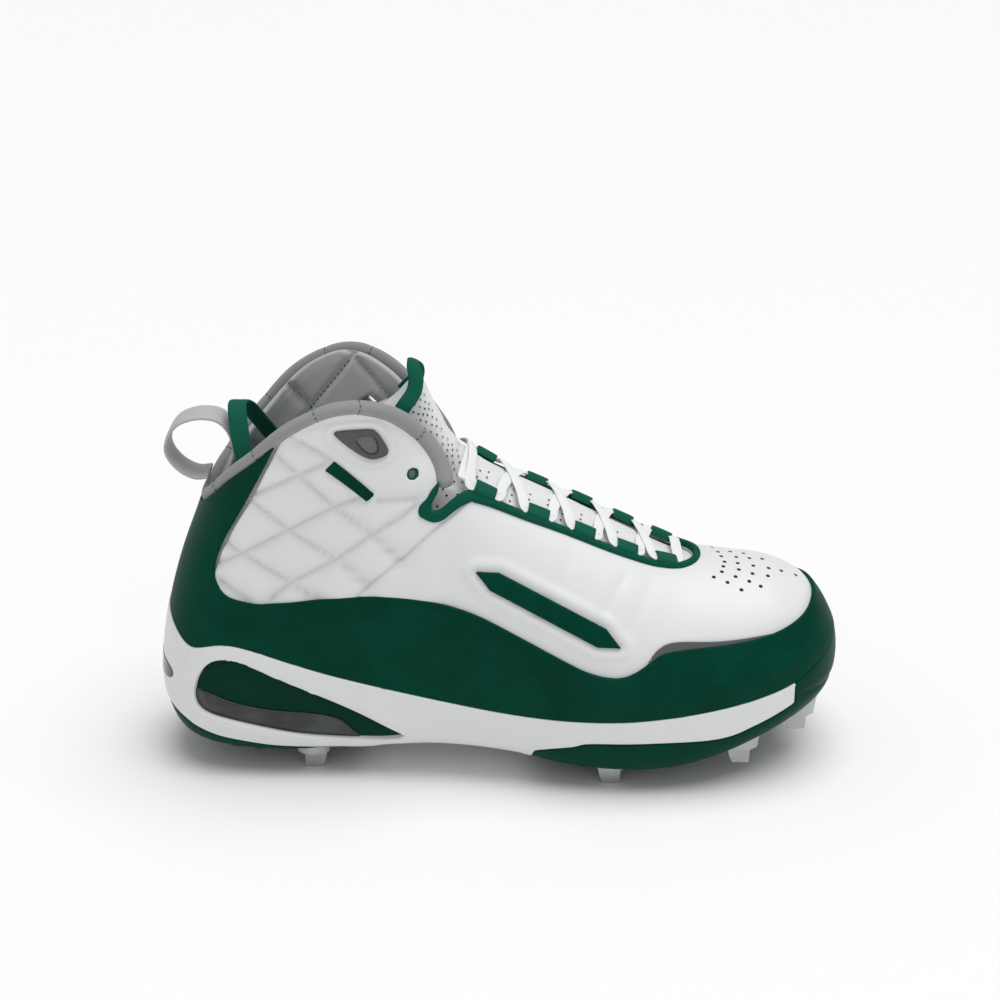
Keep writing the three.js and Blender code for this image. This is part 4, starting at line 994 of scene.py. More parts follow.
class CLEAT_OT_upper(bpy.types.Operator):
    """White leather upper with its pressed quilting"""

    bl_idname = "cleat.upper"
    bl_label = "Upper"

    def execute(self, context):
        last, lines = last_and_lines()
        s = sizes()
        throat_floor = last.up(0.4)

        def field(p, a):
            x, y, z = np.moveaxis(p, -1, 0)
            top = np.where(z > throat_floor, -within(lines.throat, x, y), FAR)
            return np.minimum.reduce([
                -within(lines.opening, x, z), top, within(lines.over_guard, x, z + 3.0),
                vent_gap(last, x, z), np.hypot(x + 38, z - 144) - 2.6,
            ])

        places, tris = cover(last, field, s.grid_step / MM * 0.8, edge=1.0)
        p = last.point(places[:, 0], places[:, 1])
        relief = leather_relief(p[:, 0], p[:, 2], lines, s)
        outer = relief - 0.6 * (1 - rounded(places[:, 2], 1.0))
        points, faces = skin(last, places, tris, outer, -s.upper_wall / MM)
        piece = make_object("leather_upper", points, faces, [finish_named("leather")], sharp=50)
        half = len(points) // 2
        # Painted shade for the channels, the seam and the panel edges, stored as the pressed attribute of the outer
        # face.
        pressed = channel_shade_share(points[:half, 0], points[:half, 2], lines)
        layer = piece.data.attributes.new("pressed", "FLOAT", "POINT")
        layer.data.foreach_set("value", np.concatenate([pressed, pressed * 0]).astype(np.float32))
        settle(piece, "leather", "upper")
        return {"FINISHED"}


RIDGE_LINE = [(37, 48), (61, 49), (85, 49), (118, 56), (136, 59), (150, 62)]
TOE_GROOVE = [(130, 36), (134, 43), (140, 48), (149, 54)]


class CLEAT_OT_mudguard(bpy.types.Operator):
    """Green skin round the toe, the sides and the heel"""

    bl_idname = "cleat.mudguard"
    bl_label = "Mudguard"

    def execute(self, context):
        last, lines = last_and_lines()
        s = sizes()

        def field(p, a):
            x, y, z = np.moveaxis(p, -1, 0)
            return np.minimum.reduce([
                -within(lines.over_guard, x, z), within(lines.over_feather, x, z) + 0.2,
                -within(lines.opening, x, z) - GAP,
            ])

        edge = 0.9
        places, tris = cover(last, field, s.grid_step / MM * 1.15, edge=edge)
        p = last.point(places[:, 0], places[:, 1])
        x, z = p[:, 0], p[:, 2]
        outer = s.overlay_rise / MM * (0.25 + 0.75 * rounded(places[:, 2], edge))
        outer += trough(x, z, RIDGE_LINE, 4.0, -0.5) + trough(x, z, TOE_GROOVE, 1.0, 0.8)
        points, faces = skin(last, places, tris, outer, -0.8)
        piece = make_object("green_mudguard", points, faces, [finish_named("green_skin")], sharp=50)
        settle(piece, "green_skin", "mudguard")

        strip = flow([(65, 64), (68.5, 69), (73, 71.5), (79, 72), (93, 71.2), (105, 71.2), (116, 71.8), (124, 72)], 6)

        def strip_field(p, a):
            x, y, z = np.moveaxis(p, -1, 0)
            return np.minimum(within(under(strip), x, z), within(lines.over_guard, x, z) + 1.5)

        places, tris = cover(last, strip_field, 1.0, edge=0.6)
        outer = 0.1 + 0.55 * rounded(places[:, 2], 0.6)
        points, faces = skin(last, places, tris, outer, -0.8)
        piece = make_object("grey_strip", points, faces, [finish_named("dark_trim")], sharp=50)
        settle(piece, "dark_trim", "mudguard")
        return {"FINISHED"}


class CLEAT_OT_piping(bpy.types.Operator):
    """Green piping round the throat and the instep notches"""

    bl_idname = "cleat.piping"
    bl_label = "Throat piping"

    def execute(self, context):
        last, lines = last_and_lines()
        s = sizes()
        throat_floor = last.up(0.4)
        width = s.trim_width / MM

        def field(p, a):
            x, y, z = np.moveaxis(p, -1, 0)
            beyond = -within(lines.throat, x, y)
            band = np.minimum(beyond + 0.5, width - beyond)
            band = np.where((z > throat_floor) & (x > lines.trim_back), band, -FAR)
            notch = within(lines.notch, x, z)
            return np.minimum(np.maximum(band, notch), -within(lines.opening, x, z) + 0.4)

        places, tris = cover(last, field, 0.55, edge=1.5)
        outer = 0.2 + s.overlay_rise / MM * 1.15 * rounded(places[:, 2], 1.5)
        points, faces = skin(last, places, tris, outer, -1.2)
        piece = make_object("throat_piping", points, faces, [finish_named("green_webbing_trim")], sharp=60)
        settle(piece, "green_skin", "eyestay")
        return {"FINISHED"}


# The padded collar


def rim_path(last, count):
    """Stations along the edge of the collar, from the outer flap round the back to the inner flap."""
    fine = last.line(RIM_LINE, per=24)
    found = []
    for side in (1, -1):
        u, angle, share = last.side_place(fine[:, 0], fine[:, 1], side)
        end = np.argmax(share <= 0) if (share <= 0).any() else len(share)
        found.append(np.stack([u[:end], angle[:end]], 1))
    places = np.vstack([found[0], found[1][::-1]])
    p = last.point(places[:, 0], places[:, 1])
    n = last.normal(places[:, 0], places[:, 1])
    run = np.concatenate([[0], np.cumsum(np.linalg.norm(np.diff(p, axis=0), axis=1))])
    at = np.linspace(0, run[-1], count)
    point = np.stack([np.interp(at, run, p[:, k]) for k in range(3)], 1)
    normal = unit_vectors(np.stack([np.interp(at, run, n[:, k]) for k in range(3)], 1))
    for _ in range(6):
        point[1:-1] = (point[:-2] + 2 * point[1:-1] + point[2:]) / 4
        normal[1:-1] = (normal[:-2] + 2 * normal[1:-1] + normal[2:]) / 4
    way = unit_vectors(np.gradient(point, axis=0))
    upwards = unit_vectors(np.cross(way, normal))
    return point, unit_vectors(normal), upwards, at


def lofted(rings, tip_share=0.5):
    """Rings of equal length joined in order, closed by a fan at each end."""
    rows, n = rings.shape[:2]
    points = np.vstack([rings.reshape(-1, 3), rings[0].mean(0), rings[-1].mean(0)])
    faces = []
    for i in range(rows - 1):
        for j in range(n):
            k = (j + 1) % n
            faces.append((i * n + j, (i + 1) * n + j, (i + 1) * n + k, i * n + k))
    base = (rows - 1) * n
    for j in range(n):
        k = (j + 1) % n
        faces.append((rows * n, j, k))
        faces.append((rows * n + 1, base + k, base + j))
    return points, faces


ROLL_STITCH_PLACES = [-124, -104, -77, -60, -36]  # along the shoe, mm
# Share of the run from the outer flap round the back to the inner flap, height and inward depth
ROLL_FULLNESS = [
    [0.0, 0.8, 0.75], [0.1, 0.72, 0.7], [0.2, 0.55, 0.62], [0.3, 0.5, 0.6], [0.42, 0.62, 0.66],
    [0.5, 0.7, 0.7], [0.6, 0.75, 0.6], [0.72, 0.85, 0.47], [0.82, 0.95, 0.47], [0.92, 1.0, 0.5],
    [1.0, 0.9, 0.7],
]


def roll_rings(last, s, count=300, per=5):
    """Rings of the collar roll and the rim points that they stand on."""
    point, normal, upwards, run = rim_path(last, count)
    section = flow(ROLL_SECTION, per, closed=True)
    middle = section.mean(0)
    pinch = np.zeros(count)
    for place in ROLL_STITCH_PLACES:
        for half in (slice(0, count // 2), slice(count // 2, count)):
            near = np.argmin(np.abs(point[half, 0] - place)) + half.start
            pinch = np.maximum(pinch, np.exp(-(((run - run[near]) / 1.6) ** 2)))
    end = np.minimum(run, run[-1] - run)
    close = np.sqrt(np.clip(1 - (1 - np.clip(end / 4.0, 0, 1)) ** 2, 0.0, 1))
    swell = close * (1.0 - 0.045 * pinch) + 0.008 * np.sin(run * 0.21) + 0.008 * np.sin(run * 0.37 + 1)
    spread = middle + (section[None] - middle) * np.maximum(swell, 0.03)[:, None, None]
    table = np.array(ROLL_FULLNESS)
    height = np.interp(run / run[-1], table[:, 0], table[:, 1])[:, None]
    depth = np.interp(run / run[-1], table[:, 0], table[:, 2])[:, None]
    spread[..., 1] *= np.where(spread[..., 1] > 0, height, 1.0)
    spread[..., 0] *= np.where(spread[..., 0] < 0, depth, 1.0)
    rings = (
        point[:, None] + normal[:, None] * spread[..., :1] * (s.roll_thickness / MM)
        + upwards[:, None] * spread[..., 1:] * (s.roll_height / MM)
    )
    return rings, point


class CLEAT_OT_collar(bpy.types.Operator):
    """Padded grey roll along the top line"""

    bl_idname = "cleat.collar"
    bl_label = "Collar roll"

    def execute(self, context):
        last, lines = last_and_lines()
        s = sizes()
        rings, point = roll_rings(last, s)
        points, faces = lofted(rings[:, ::-1])
        piece = make_object("collar_roll", points, faces, [finish_named("lining")], sharp=80)
        settle(piece, "lining", "collar")
        return {"FINISHED"}


LINING_SLANTS = ((1.2, 40.7, 1.5), (-0.95, 33.0, 18.6))  # slope, spacing, start


def lining_depth(x, z, away, lines, wall):
    """How far the lining's face lies inside the last."""
    by_rim = np.exp(-np.maximum(-within(lines.opening, x, z), 0) / 14)
    pad = 1.3 + 2.0 * by_rim
    shaft = smoothstep(z, 55, 75)
    return wall + 0.8 + shaft * pad * (1 - 0.6 * np.exp(-((away / 1.6) ** 2)))


def lining_rise(x, y):
    """How far the lining's top edge rises behind the roll, more on the inner side."""
    return (3.2 + 1.8 * np.tanh(y / 15)) * smoothstep(-x, 24, 34)


def vent_gap(last, x, z):
    """Distance to the small diamond hole behind the vent, positive outside it."""
    middle = last.line([[0.316, 1.47]], per=1)[0]
    return (np.abs(x - middle[0]) / 3.8 + np.abs(z - middle[1]) / 2.4 - 1) * 2.4


def lining_lines(x, z):
    """Distance to the nearest line of the lining's diamond quilting."""
    away = np.full(x.shape, FAR)
    for slope, spacing, start in LINING_SLANTS:
        across = (z - slope * x) / math.hypot(1, slope) - start
        away = np.minimum(away, np.abs((across + spacing / 2) % spacing - spacing / 2))
    return away


class CLEAT_OT_lining(bpy.types.Operator):
    """Quilted grey lining inside the collar and the quarters"""

    bl_idname = "cleat.lining"
    bl_label = "Lining"

    def execute(self, context):
        last, lines = last_and_lines()
        s = sizes()
        wall = s.upper_wall / MM
        def inside_field(p, a):
            x, y, z = np.moveaxis(p, -1, 0)
            hole = vent_gap(last, x, z)
            throat = np.where(z > last.up(0.4), -within(lines.throat, x, y) - 2.0, FAR)
            return np.minimum.reduce([
                -within(lines.opening, x, z) + lining_rise(x, y), within(over(lines.board), x, z) + 3.0,
                last.along(0.62) - x, hole, throat,
            ])

        places, tris = cover(last, inside_field, 1.35, edge=1.6)
        p = last.point(places[:, 0], places[:, 1])
        away = lining_lines(p[:, 0], p[:, 2])
        inner = -lining_depth(p[:, 0], p[:, 2], away, lines, wall)
        above = smoothstep(within(lines.opening, p[:, 0], p[:, 2]), -1.2, 0.4)
        round_top = 1 - rounded(places[:, 2], 1.6)
        outer = (-wall + 0.4) * (1 - above) - 4.2 * above
        points, faces = skin(last, places, tris, outer, np.minimum(inner + 1.1 * round_top, outer - 0.4))
        # The lining inside the shoe takes the lightened copy of the lining colour: painted light.
        piece = make_object("quilted_lining", points, faces, [finish_named("lightened_lining")], sharp=70)
        settle(piece, "lining", "upper")
        return {"FINISHED"}


# The tongue


def tongue_places(last, rows, shares):
    """Where the tongue's face lies: u, angle and depth at each row and share of the half width."""
    table = flow(TONGUE, 12)
    at = np.linspace(0, len(table) - 1, rows)
    r = np.stack([np.interp(at, np.arange(len(table)), table[:, k]) for k in range(6)], 1)[:, :, None]
    share = np.asarray(shares)[None, :]
    angle = np.radians(r[:, 1]) * share
    ridge, half, middle, edge, thick, drop = (r[:, k] for k in range(6))
    way = unit_vectors(last.point(ridge[:, 0] + 1e-3, 0) - last.point(ridge[:, 0] - 1e-3, 0))
    centre = ridge - drop * np.abs(share) ** TONGUE_ROUNDING
    origin = last.point(centre, 0)

    def is_beyond(u):
        return ((last.point(u, angle) - origin) * way[:, None]).sum(-1) > 0

    u = bisect(centre - 4, centre + 2, is_beyond)
    fold = smoothstep(np.abs(share), TONGUE_FLAT, TONGUE_FOLD)
    return u, angle, middle + (edge - middle) * fold, thick * np.ones_like(share)


def tongue_point(last, row_share, share, lift):
    """A point over the tongue's face, for the pinholes."""
    u, angle, depth, _ = tongue_places(last, 200, share)
    i = np.clip((np.asarray(row_share) * 199).astype(int), 0, 199)
    j = np.arange(len(share))
    return (
        last.surface(u[i, j], angle[i, j], -depth[i, j] + lift),
        last.normal(u[i, j], angle[i, j]),
    )


class CLEAT_OT_tongue(bpy.types.Operator):
    """Padded white tongue"""

    bl_idname = "cleat.tongue"
    bl_label = "Tongue"

    def execute(self, context):
        last, lines = last_and_lines()
        s = sizes()
        rows, columns = 170, 71
        shares = np.sin(np.linspace(-1, 1, columns) * math.pi / 2)
        u, angle, depth, thick = tongue_places(last, rows, shares)
        t = np.linspace(0, 1, rows)[:, None]
        sides = np.sqrt(np.maximum(1 - np.abs(shares[None]) ** 10, 0.0))
        ends = np.sqrt(np.clip(1 - (1 - np.clip(np.minimum(t, 1 - t) / 0.02, 0, 1)) ** 2, 0, 1))
        body = np.maximum(sides * ends, 0.12)
        full = thick * s.tongue_thickness / MM * (1 - TONGUE_THINNING * shares[None] ** 4)
        rib = 0.9 * np.exp(-((shares[None] / 0.07) ** 2)) * smoothstep(t, 0.5, 0.6)
        groove = -0.6 * np.exp(-(((np.abs(shares[None]) - 0.2) / 0.03) ** 2)) * smoothstep(t, 0.5, 0.6)
        seams = -0.45 * np.exp(-(((np.abs(shares[None]) - 0.62) / 0.03) ** 2))
        swell = 0.35 * np.sin(t * 46) * (1 - shares[None] ** 2) * smoothstep(t, 0.05, 0.2)
        face = -depth + rib + groove + seams + swell * 0.5 - full * (1 - body) / 2
        back = -depth - full * (1 + body) / 2
        outer = last.surface(u, angle, face)
        inner = last.surface(u, angle, back)
        around = np.concatenate([outer, inner[:, ::-1]], 1)
        points, faces = lofted(around[::-1])
        piece = make_object("padded_tongue", points, faces, [finish_named("leather")], sharp=80)
        settle(piece, "leather", "tongue")
        return {"FINISHED"}


# The sole


def sole_shell(name, finish, slot, nodes, field, outer, inner, edge=1.0, step=None, relief=None):
    last, lines = last_and_lines()
    step = step or sizes().grid_step / MM * 1.2
    places, tris = cover(last, field, step, edge=edge)
    height = outer - 0.9 * edge * (1 - rounded(places[:, 2], edge))
    if relief is not None:
        p = last.point(places[:, 0], places[:, 1])
        height = height + relief(p[:, 0], p[:, 1], p[:, 2])
    points, faces = skin(last, places, tris, height, inner)
    piece = make_object(name, points, faces, [finish_named(finish)], sharp=50)
    return settle(piece, slot, *nodes)


HEEL_CREASE = [(-138, 62), (-141, 58), (-145, 51)]
REAR_WINDOW = [(-170, 54), (-150, 51.5), (-145.5, 47.5), (-150, 42), (-170, 40)]


class CLEAT_OT_midsole(bpy.types.Operator):
    """White midsole with a teardrop window each side of the heel"""

    bl_idname = "cleat.midsole"
    bl_label = "Midsole"

    def execute(self, context):
        last, lines = last_and_lines()
        s = sizes()

        def field(p, a):
            x, y, z = np.moveaxis(p, -1, 0)
            plates = [within(zone, x, z) + 0.15 for zone in (lines.heel, lines.arch, lines.forefoot)]
            return np.minimum.reduce([
                -within(lines.over_feather, x, z), -np.maximum.reduce(plates), -within(lines.window, x, z),
            ])

        def relief(x, y, z):
            lip = np.abs(within(lines.window, x, z) + 3.4)
            return 0.35 * np.exp(-((lip / 2.4) ** 2)) + trough(x, z, HEEL_CREASE, 0.9, 0.7)

        sole_shell("white_midsole", "sole", "sole", ["midsole"], field, s.midsole_rise / MM + 0.1, -2.6,
                   edge=1.1, step=1.05, relief=relief)
        return {"FINISHED"}


class CLEAT_OT_heel_window(bpy.types.Operator):
    """Block and smoky cushion inside the heel window"""

    bl_idname = "cleat.heel_window"
    bl_label = "Heel window"

    def execute(self, context):
        last, lines = last_and_lines()
        low = under(lines.cushion)

        def cushion(p, a):
            x, y, z = np.moveaxis(p, -1, 0)
            return np.minimum(within(lines.window, x, z) + 1.2, within(low, x, z))

        def carrier(p, a):
            x, y, z = np.moveaxis(p, -1, 0)
            return np.minimum(within(lines.window, x, z) + 1.2, -within(low, x, z) + 0.6)

        def swell(x, y, z):
            return 0.9 * smoothstep(within(lines.window, x, z), 0, 5)

        def ribs(x, y, z):
            wave = np.sin((x * 0.93 + z * 0.3) * 0.55)
            return 0.35 * smoothstep(within(lines.window, x, z), 0, 4) + 0.05 * wave

        sole_shell("smoky_cushion", "smoke", "smoke", ["heel_cushion"], cushion, -0.2, -4.5,
                   edge=0.8, step=1.0, relief=swell)
        sole_shell("window_block", "carrier", "carrier", ["heel_carrier"], carrier, -0.7, -4.5,
                   edge=0.5, step=1.0, relief=ribs)

        def rear(p, a):
            x, y, z = np.moveaxis(p, -1, 0)
            return within(rear_window, x, z)

        rear_window = eased(np.array(REAR_WINDOW, float), 2)
        sole_shell("rear_window", "smoke", "smoke", [], rear, sizes().midsole_rise / MM + 0.35, 0.4,
                   edge=0.6, step=0.8)
        return {"FINISHED"}


class CLEAT_OT_plates(bpy.types.Operator):
    """Heel, arch and forefoot plates"""

    bl_idname = "cleat.plates"
    bl_label = "Sole plates"

    def execute(self, context):
        last, lines = last_and_lines()
        s = sizes()
        rise = s.plate_rise / MM
        inner = rise - s.plate_wall / MM

        def zone(outline, cap=None):
            def field(p, a):
                x, y, z = np.moveaxis(p, -1, 0)
                d = within(outline, x, z)
                if cap is not None:
                    d = np.minimum(d, -within(cap, x, z) + 0.3)
                return d
            return field

        def tread(x, y, z):
            """Low ribs and a raised rim under the sole."""
            under_sole = smoothstep(-z, -16, -11)
            ribs = np.clip(np.sin(x * 0.55 + 0.5 * np.abs(y) * 0.35), 0, 1) ** 2
            inside = smoothstep(last.ball / 2 - np.abs(y), 12, 20)
            return 0.7 * ribs * inside * under_sole

        def toe_lip(x, y, z):
            line = np.exp(-(((z - last.up(0.26)) / 1.6) ** 2)) * smoothstep(x, 128, 138)
            return tread(x, y, z) - 0.5 * line

        sole_shell("heel_plate_skin", "plate", "plate", ["heel_plate"], zone(lines.heel), rise, inner,
                   edge=0.9, relief=tread)
        sole_shell("arch_plate_skin", "shank", "shank", ["arch_plate"], zone(lines.arch), rise, inner,
                   edge=0.9, relief=tread)
        sole_shell("forefoot_plate_skin", "plate", "plate", ["forefoot_plate"],
                   zone(lines.forefoot, lines.over_feather), rise, inner, edge=0.9, relief=toe_lip)
        return {"FINISHED"}


class CLEAT_OT_spikes(bpy.types.Operator):
    """Eight steel spikes with eased edges"""

    bl_idname = "cleat.spikes"
    bl_label = "Spikes"

    def execute(self, context):
        for node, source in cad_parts.items():
            if not node.startswith("spike_"):
                continue
            mesh = source.data.copy()
            made = bmesh.new()
            made.from_mesh(mesh)
            bmesh.ops.remove_doubles(made, verts=made.verts, dist=1e-6)
            bmesh.ops.dissolve_limit(made, angle_limit=0.02, verts=made.verts, edges=made.edges)
            made.to_mesh(mesh)
            made.free()
            mesh.materials.clear()
            mesh.materials.append(finish_named("steel"))
            piece = bpy.data.objects.new(node + "_steel", mesh)
            bpy.context.collection.objects.link(piece)
            mesh.shade_smooth()
            mesh.set_sharp_from_angle(angle=math.radians(40))
            bevel = piece.modifiers.new("eased_edges", "BEVEL")
            bevel.width = 0.9 * MM
            bevel.segments = 3
            bevel.limit_method = "ANGLE"
            bevel.angle_limit = math.radians(35)
            settle(piece, "steel", node)
        return {"FINISHED"}


class CLEAT_OT_insole(bpy.types.Operator):
    """Sockliner under the foot"""

    bl_idname = "cleat.insole"
    bl_label = "Insole"

    def execute(self, context):
        last, lines = last_and_lines()
        s = sizes()
        inset = -s.upper_wall / MM - 2 * GAP - 0.4
        u, a = grid(last, (0.3, 19.0), ALL_ROUND, 1.5)
        p = last.surface(u, a, np.full(u.shape, inset)).reshape(-1, 3)
        board = lines.board
        height = np.interp(p[:, 0], board[:, 0], board[:, 1])
        near = np.abs(p[:, 2] - height - 3.0) < 2.5
        p = p[near]
        stations = np.linspace(p[:, 0].min() + 1.0, p[:, 0].max() - 1.0, 110)
        edges = np.zeros((len(stations), 2))
        for i, x in enumerate(stations):
            here = p[np.abs(p[:, 0] - x) < 2.2]
            edges[i] = here[:, 1].min(), here[:, 1].max()
        shares = np.sin(np.linspace(-1, 1, 41) * math.pi / 2)
        t = np.linspace(0, 1, len(stations))
        close = np.sqrt(np.clip(1 - (1 - np.clip(np.minimum(t, 1 - t) / 0.012, 0, 1)) ** 2, 0.02, 1))
        y = edges.mean(1)[:, None] + shares[None] * (edges[:, 1] - edges[:, 0])[:, None] / 2
        x = np.broadcast_to(stations[:, None], y.shape)
        floor = np.interp(stations, board[:, 0], board[:, 1])[:, None]
        body = np.sqrt(np.maximum(1 - np.abs(shares[None]) ** 12, 0)) * close[:, None]
        thick = s.insole_thickness / MM
        cup = 1.4 * np.abs(shares[None]) ** 4
        top = floor + GAP + thick / 2 + body * thick / 2 + cup * body
        bottom = floor + GAP + thick / 2 - body * thick / 2
        around = np.concatenate([np.stack([x, y, top], -1), np.stack([x, y, bottom], -1)[:, ::-1]], 1)
        points, faces = lofted(around)
        piece = make_object("sockliner", points, faces, [finish_named("lining")], sharp=80)
        settle(piece, "lining", "insole")
        return {"FINISHED"}


# Laces, keepers and webbing


def ribbon(points, normals, width, thickness, crown=0.0, corner=0.45, swell=None):
    """A flat band with rounded edges along a path; also its weave coordinates."""
    points = np.asarray(points, float)
    normals = np.asarray(normals, float)
    way = unit_vectors(np.gradient(points, axis=0))
    across = unit_vectors(np.cross(normals, way))
    upwards = unit_vectors(np.cross(way, across))
    half = width / 2 * (np.ones(len(points)) if swell is None else swell)
    thin = thickness / 2
    flat = np.linspace(-1, 1, 9)
    side = np.linspace(-math.pi / 2, math.pi / 2, 5)[1:-1]
    ring = [(x, 1.0) for x in flat] + [(1.0 + 0.0 * t, -math.sin(t)) for t in side]
    ring += [(-x, -1.0) for x in flat] + [(-1.0, math.sin(t)) for t in side]
    ring = np.array(ring)
    bulge = np.sqrt(np.maximum(1 - ring[:, 1] ** 2, 0)) * corner * thin
    edge_drop = 1 - 0.25 * np.abs(ring[:, 0]) ** 4
    rings = (
        points[:, None]
        + across[:, None] * (ring[None, :, :1] * half[:, None, None] + (np.sign(ring[:, 0]) * bulge)[None, :, None])
        + upwards[:, None] * ((ring[:, 1] * edge_drop * thin + crown * (1 - ring[:, 0] ** 2))[None, :, None])
    )
    run = np.concatenate([[0], np.cumsum(np.linalg.norm(np.diff(points, axis=0), axis=1))])
    girth = ring[:, 0] * width / 2
    uv = np.stack(np.broadcast_arrays(girth[None], run[:, None]), -1).reshape(-1, 2)
    uv = np.vstack([uv, [[0, run[0]], [0, run[-1]]]])
    made, faces = lofted(rings)
    return made, [tuple(reversed(face)) for face in faces], uv, run[-1]


def join_parts(parts):
    points, faces, uvs, base = [], [], [], 0
    for made, part_faces, uv in parts:
        points.append(made)
        uvs.append(uv)
        faces += [tuple(i + base for i in face) for face in part_faces]
        base += len(made)
    return np.vstack(points), faces, np.vstack(uvs)


class Lacing:
    """Places of the keepers and the one lace that runs through them."""

    def __init__(self, last, s):
        self.last = last
        self.half = s.throat_half_width / MM
        self.length = s.keeper_length / MM
        self.depth = s.keeper_depth / MM
        self.seat = s.keeper_seat / MM
        self.eye = s.overlay_rise / MM - 0.7
        self.rise = self.eye + GAP + s.lace_thickness / MM / 2
        self.clear = s.lace_clear / MM
        edge = np.array(THROAT_EDGE)
        self.edge_x = last.along(edge[:, 0])
        self.edge_y = edge[:, 1] * self.half

    def place(self, share, side, shift=0.0):
        x = self.last.along(share) + shift
        u = float(self.last.ridge_at(x))
        y = np.interp(x, self.edge_x, self.edge_y) + self.seat - self.depth / 2
        return u, side * float(self.last.angle_at(u, y))

    def axes(self, share, side):
        u, angle = self.place(share, side)
        behind = self.place(share, side, -self.length / 2)
        normal = self.last.normal(u, angle)
        way = unit_vectors(self.last.point(u, angle) - self.last.point(*behind))
        across = unit_vectors(np.cross(normal, way))
        upwards = unit_vectors(np.cross(way, across))
        return way, across, upwards, self.last.surface(u, angle, self.eye)

    def lying(self, place, rise=0.0):
        u, angle = place
        return self.last.surface(u, angle, self.rise + rise), self.last.normal(u, angle)

    def half_path(self, side):
        """From the toe-most keeper of one side up to where the lace goes in under the flap."""
        found = []
        mouth = self.length / 2
        for i in range(len(KEEPERS)):
            way, across, upwards, origin = self.axes(KEEPERS[i], side)
            fore = self.lying(self.place(KEEPERS[i], side, mouth + self.clear))
            back = self.lying(self.place(KEEPERS[i], side, -mouth - self.clear))
            lift = upwards * (self.rise - self.eye)
            inside = [(origin + way * shift + lift, upwards) for shift in (mouth + 0.4, 0.0, -mouth - 0.4)]
            found += [fore, *inside, back]
            start = self.place(KEEPERS[i], side, -mouth - self.clear)
            if i + 1 < len(KEEPERS):
                end = self.place(KEEPERS[i + 1], -side, mouth + self.clear)
            else:
                end = self.place(LACE_END, -side)
            over = -1.2 if side > 0 else -2.4
            for t in (0.2, 0.5, 0.8) if i + 1 < len(KEEPERS) else (0.25, 0.6, 1.0):
                here = (start[0] + (end[0] - start[0]) * t, start[1] + (end[1] - start[1]) * t)
                found.append(self.lying(here, over * math.sin(math.pi * min(t, 0.99)) + 0.1))
            side = -side
        return found

    def path(self):
        first, second = self.half_path(1), self.half_path(-1)
        start, end = self.place(KEEPERS[0], 1, 0), self.place(KEEPERS[0], -1, 0)
        x = self.length / 2 + self.clear
        start, end = self.place(KEEPERS[0], 1, x), self.place(KEEPERS[0], -1, x)
        bar = [
            self.lying((start[0] + (end[0] - start[0]) * t, start[1] + (end[1] - start[1]) * t), 0.05)
            for t in (0.25, 0.5, 0.75)
        ]
        whole = first[::-1] + bar + second
        return np.array([p for p, n in whole]), np.array([n for p, n in whole])


class CLEAT_OT_laces(bpy.types.Operator):
    """One flat lace through the keepers, crossing between them"""

    bl_idname = "cleat.laces"
    bl_label = "Laces"

    def execute(self, context):
        last, lines = last_and_lines()
        s = sizes()
        lacing = Lacing(last, s)
        points, normals = lacing.path()
        path = flow(points, 9)
        facing = unit_vectors(flow(normals, 9))
        swell = 1 + 0.05 * np.sin(np.arange(len(path)) * 0.61) + 0.03 * np.sin(np.arange(len(path)) * 0.23)
        made, faces, uv, run = ribbon(path, facing, s.lace_width / MM, s.lace_thickness / MM,
                                      crown=0.12, corner=0.8, swell=swell)
        piece = make_object("flat_lace", made, faces, [finish_named("lace")], uv=uv, sharp=80)
        settle(piece, "lace", "laces")
        return {"FINISHED"}


class CLEAT_OT_keepers(bpy.types.Operator):
    """Ten webbing keepers beside the throat"""

    bl_idname = "cleat.keepers"
    bl_label = "Lace keepers"

    def execute(self, context):
        last, lines = last_and_lines()
        s = sizes()
        lacing = Lacing(last, s)
        half = s.keeper_tab / MM / 2
        shift = 0.3
        tall = s.lace_thickness / MM + 1.5 * GAP + s.keeper_wall / MM * 0.5
        arch = flow([(-half - 0.3, -1.6), (-half, 0.3), (-half + 0.8, tall - 0.3), (-half * 0.4, tall),
                     (half * 0.4, tall), (half - 0.8, tall - 0.3), (half, 0.3), (half + 0.3, -1.6)], 5)
        for i, share in enumerate(KEEPERS):
            for side, word in ((1, "lateral"), (-1, "medial")):
                way, across, upwards, origin = lacing.axes(share, side)
                middle = origin - across * shift * side
                path = middle + across * arch[:, :1] + upwards * arch[:, 1:]
                ways = np.gradient(path, axis=0)
                facing = unit_vectors(np.cross(ways, np.broadcast_to(way, ways.shape)))
                made, faces, uv, run = ribbon(path, facing, lacing.length, s.keeper_wall / MM, corner=0.6)
                name = f"keeper_{word}_{i + 1}"
                piece = make_object(name + "_tab", made, faces, [finish_named("green_webbing")], uv=uv, sharp=80)
                settle(piece, "green_webbing", name)
        return {"FINISHED"}


def webbing_piece(last, name, points, width_way, width, thickness, finish, node, narrow=0.0):
    path = flow(points, 10)
    way = unit_vectors(np.gradient(path, axis=0))
    facing = unit_vectors(np.cross(way, np.broadcast_to(np.asarray(width_way, float), way.shape)))
    swell = 1 - narrow * np.exp(-((path[:, 1] / 3.2) ** 2))
    made, faces, uv, run = ribbon(path, facing, width, thickness, crown=0.15, corner=0.7, swell=swell)
    piece = make_object(name, made, faces, [finish_named(finish)], uv=uv, sharp=80)
    return settle(piece, finish, node)


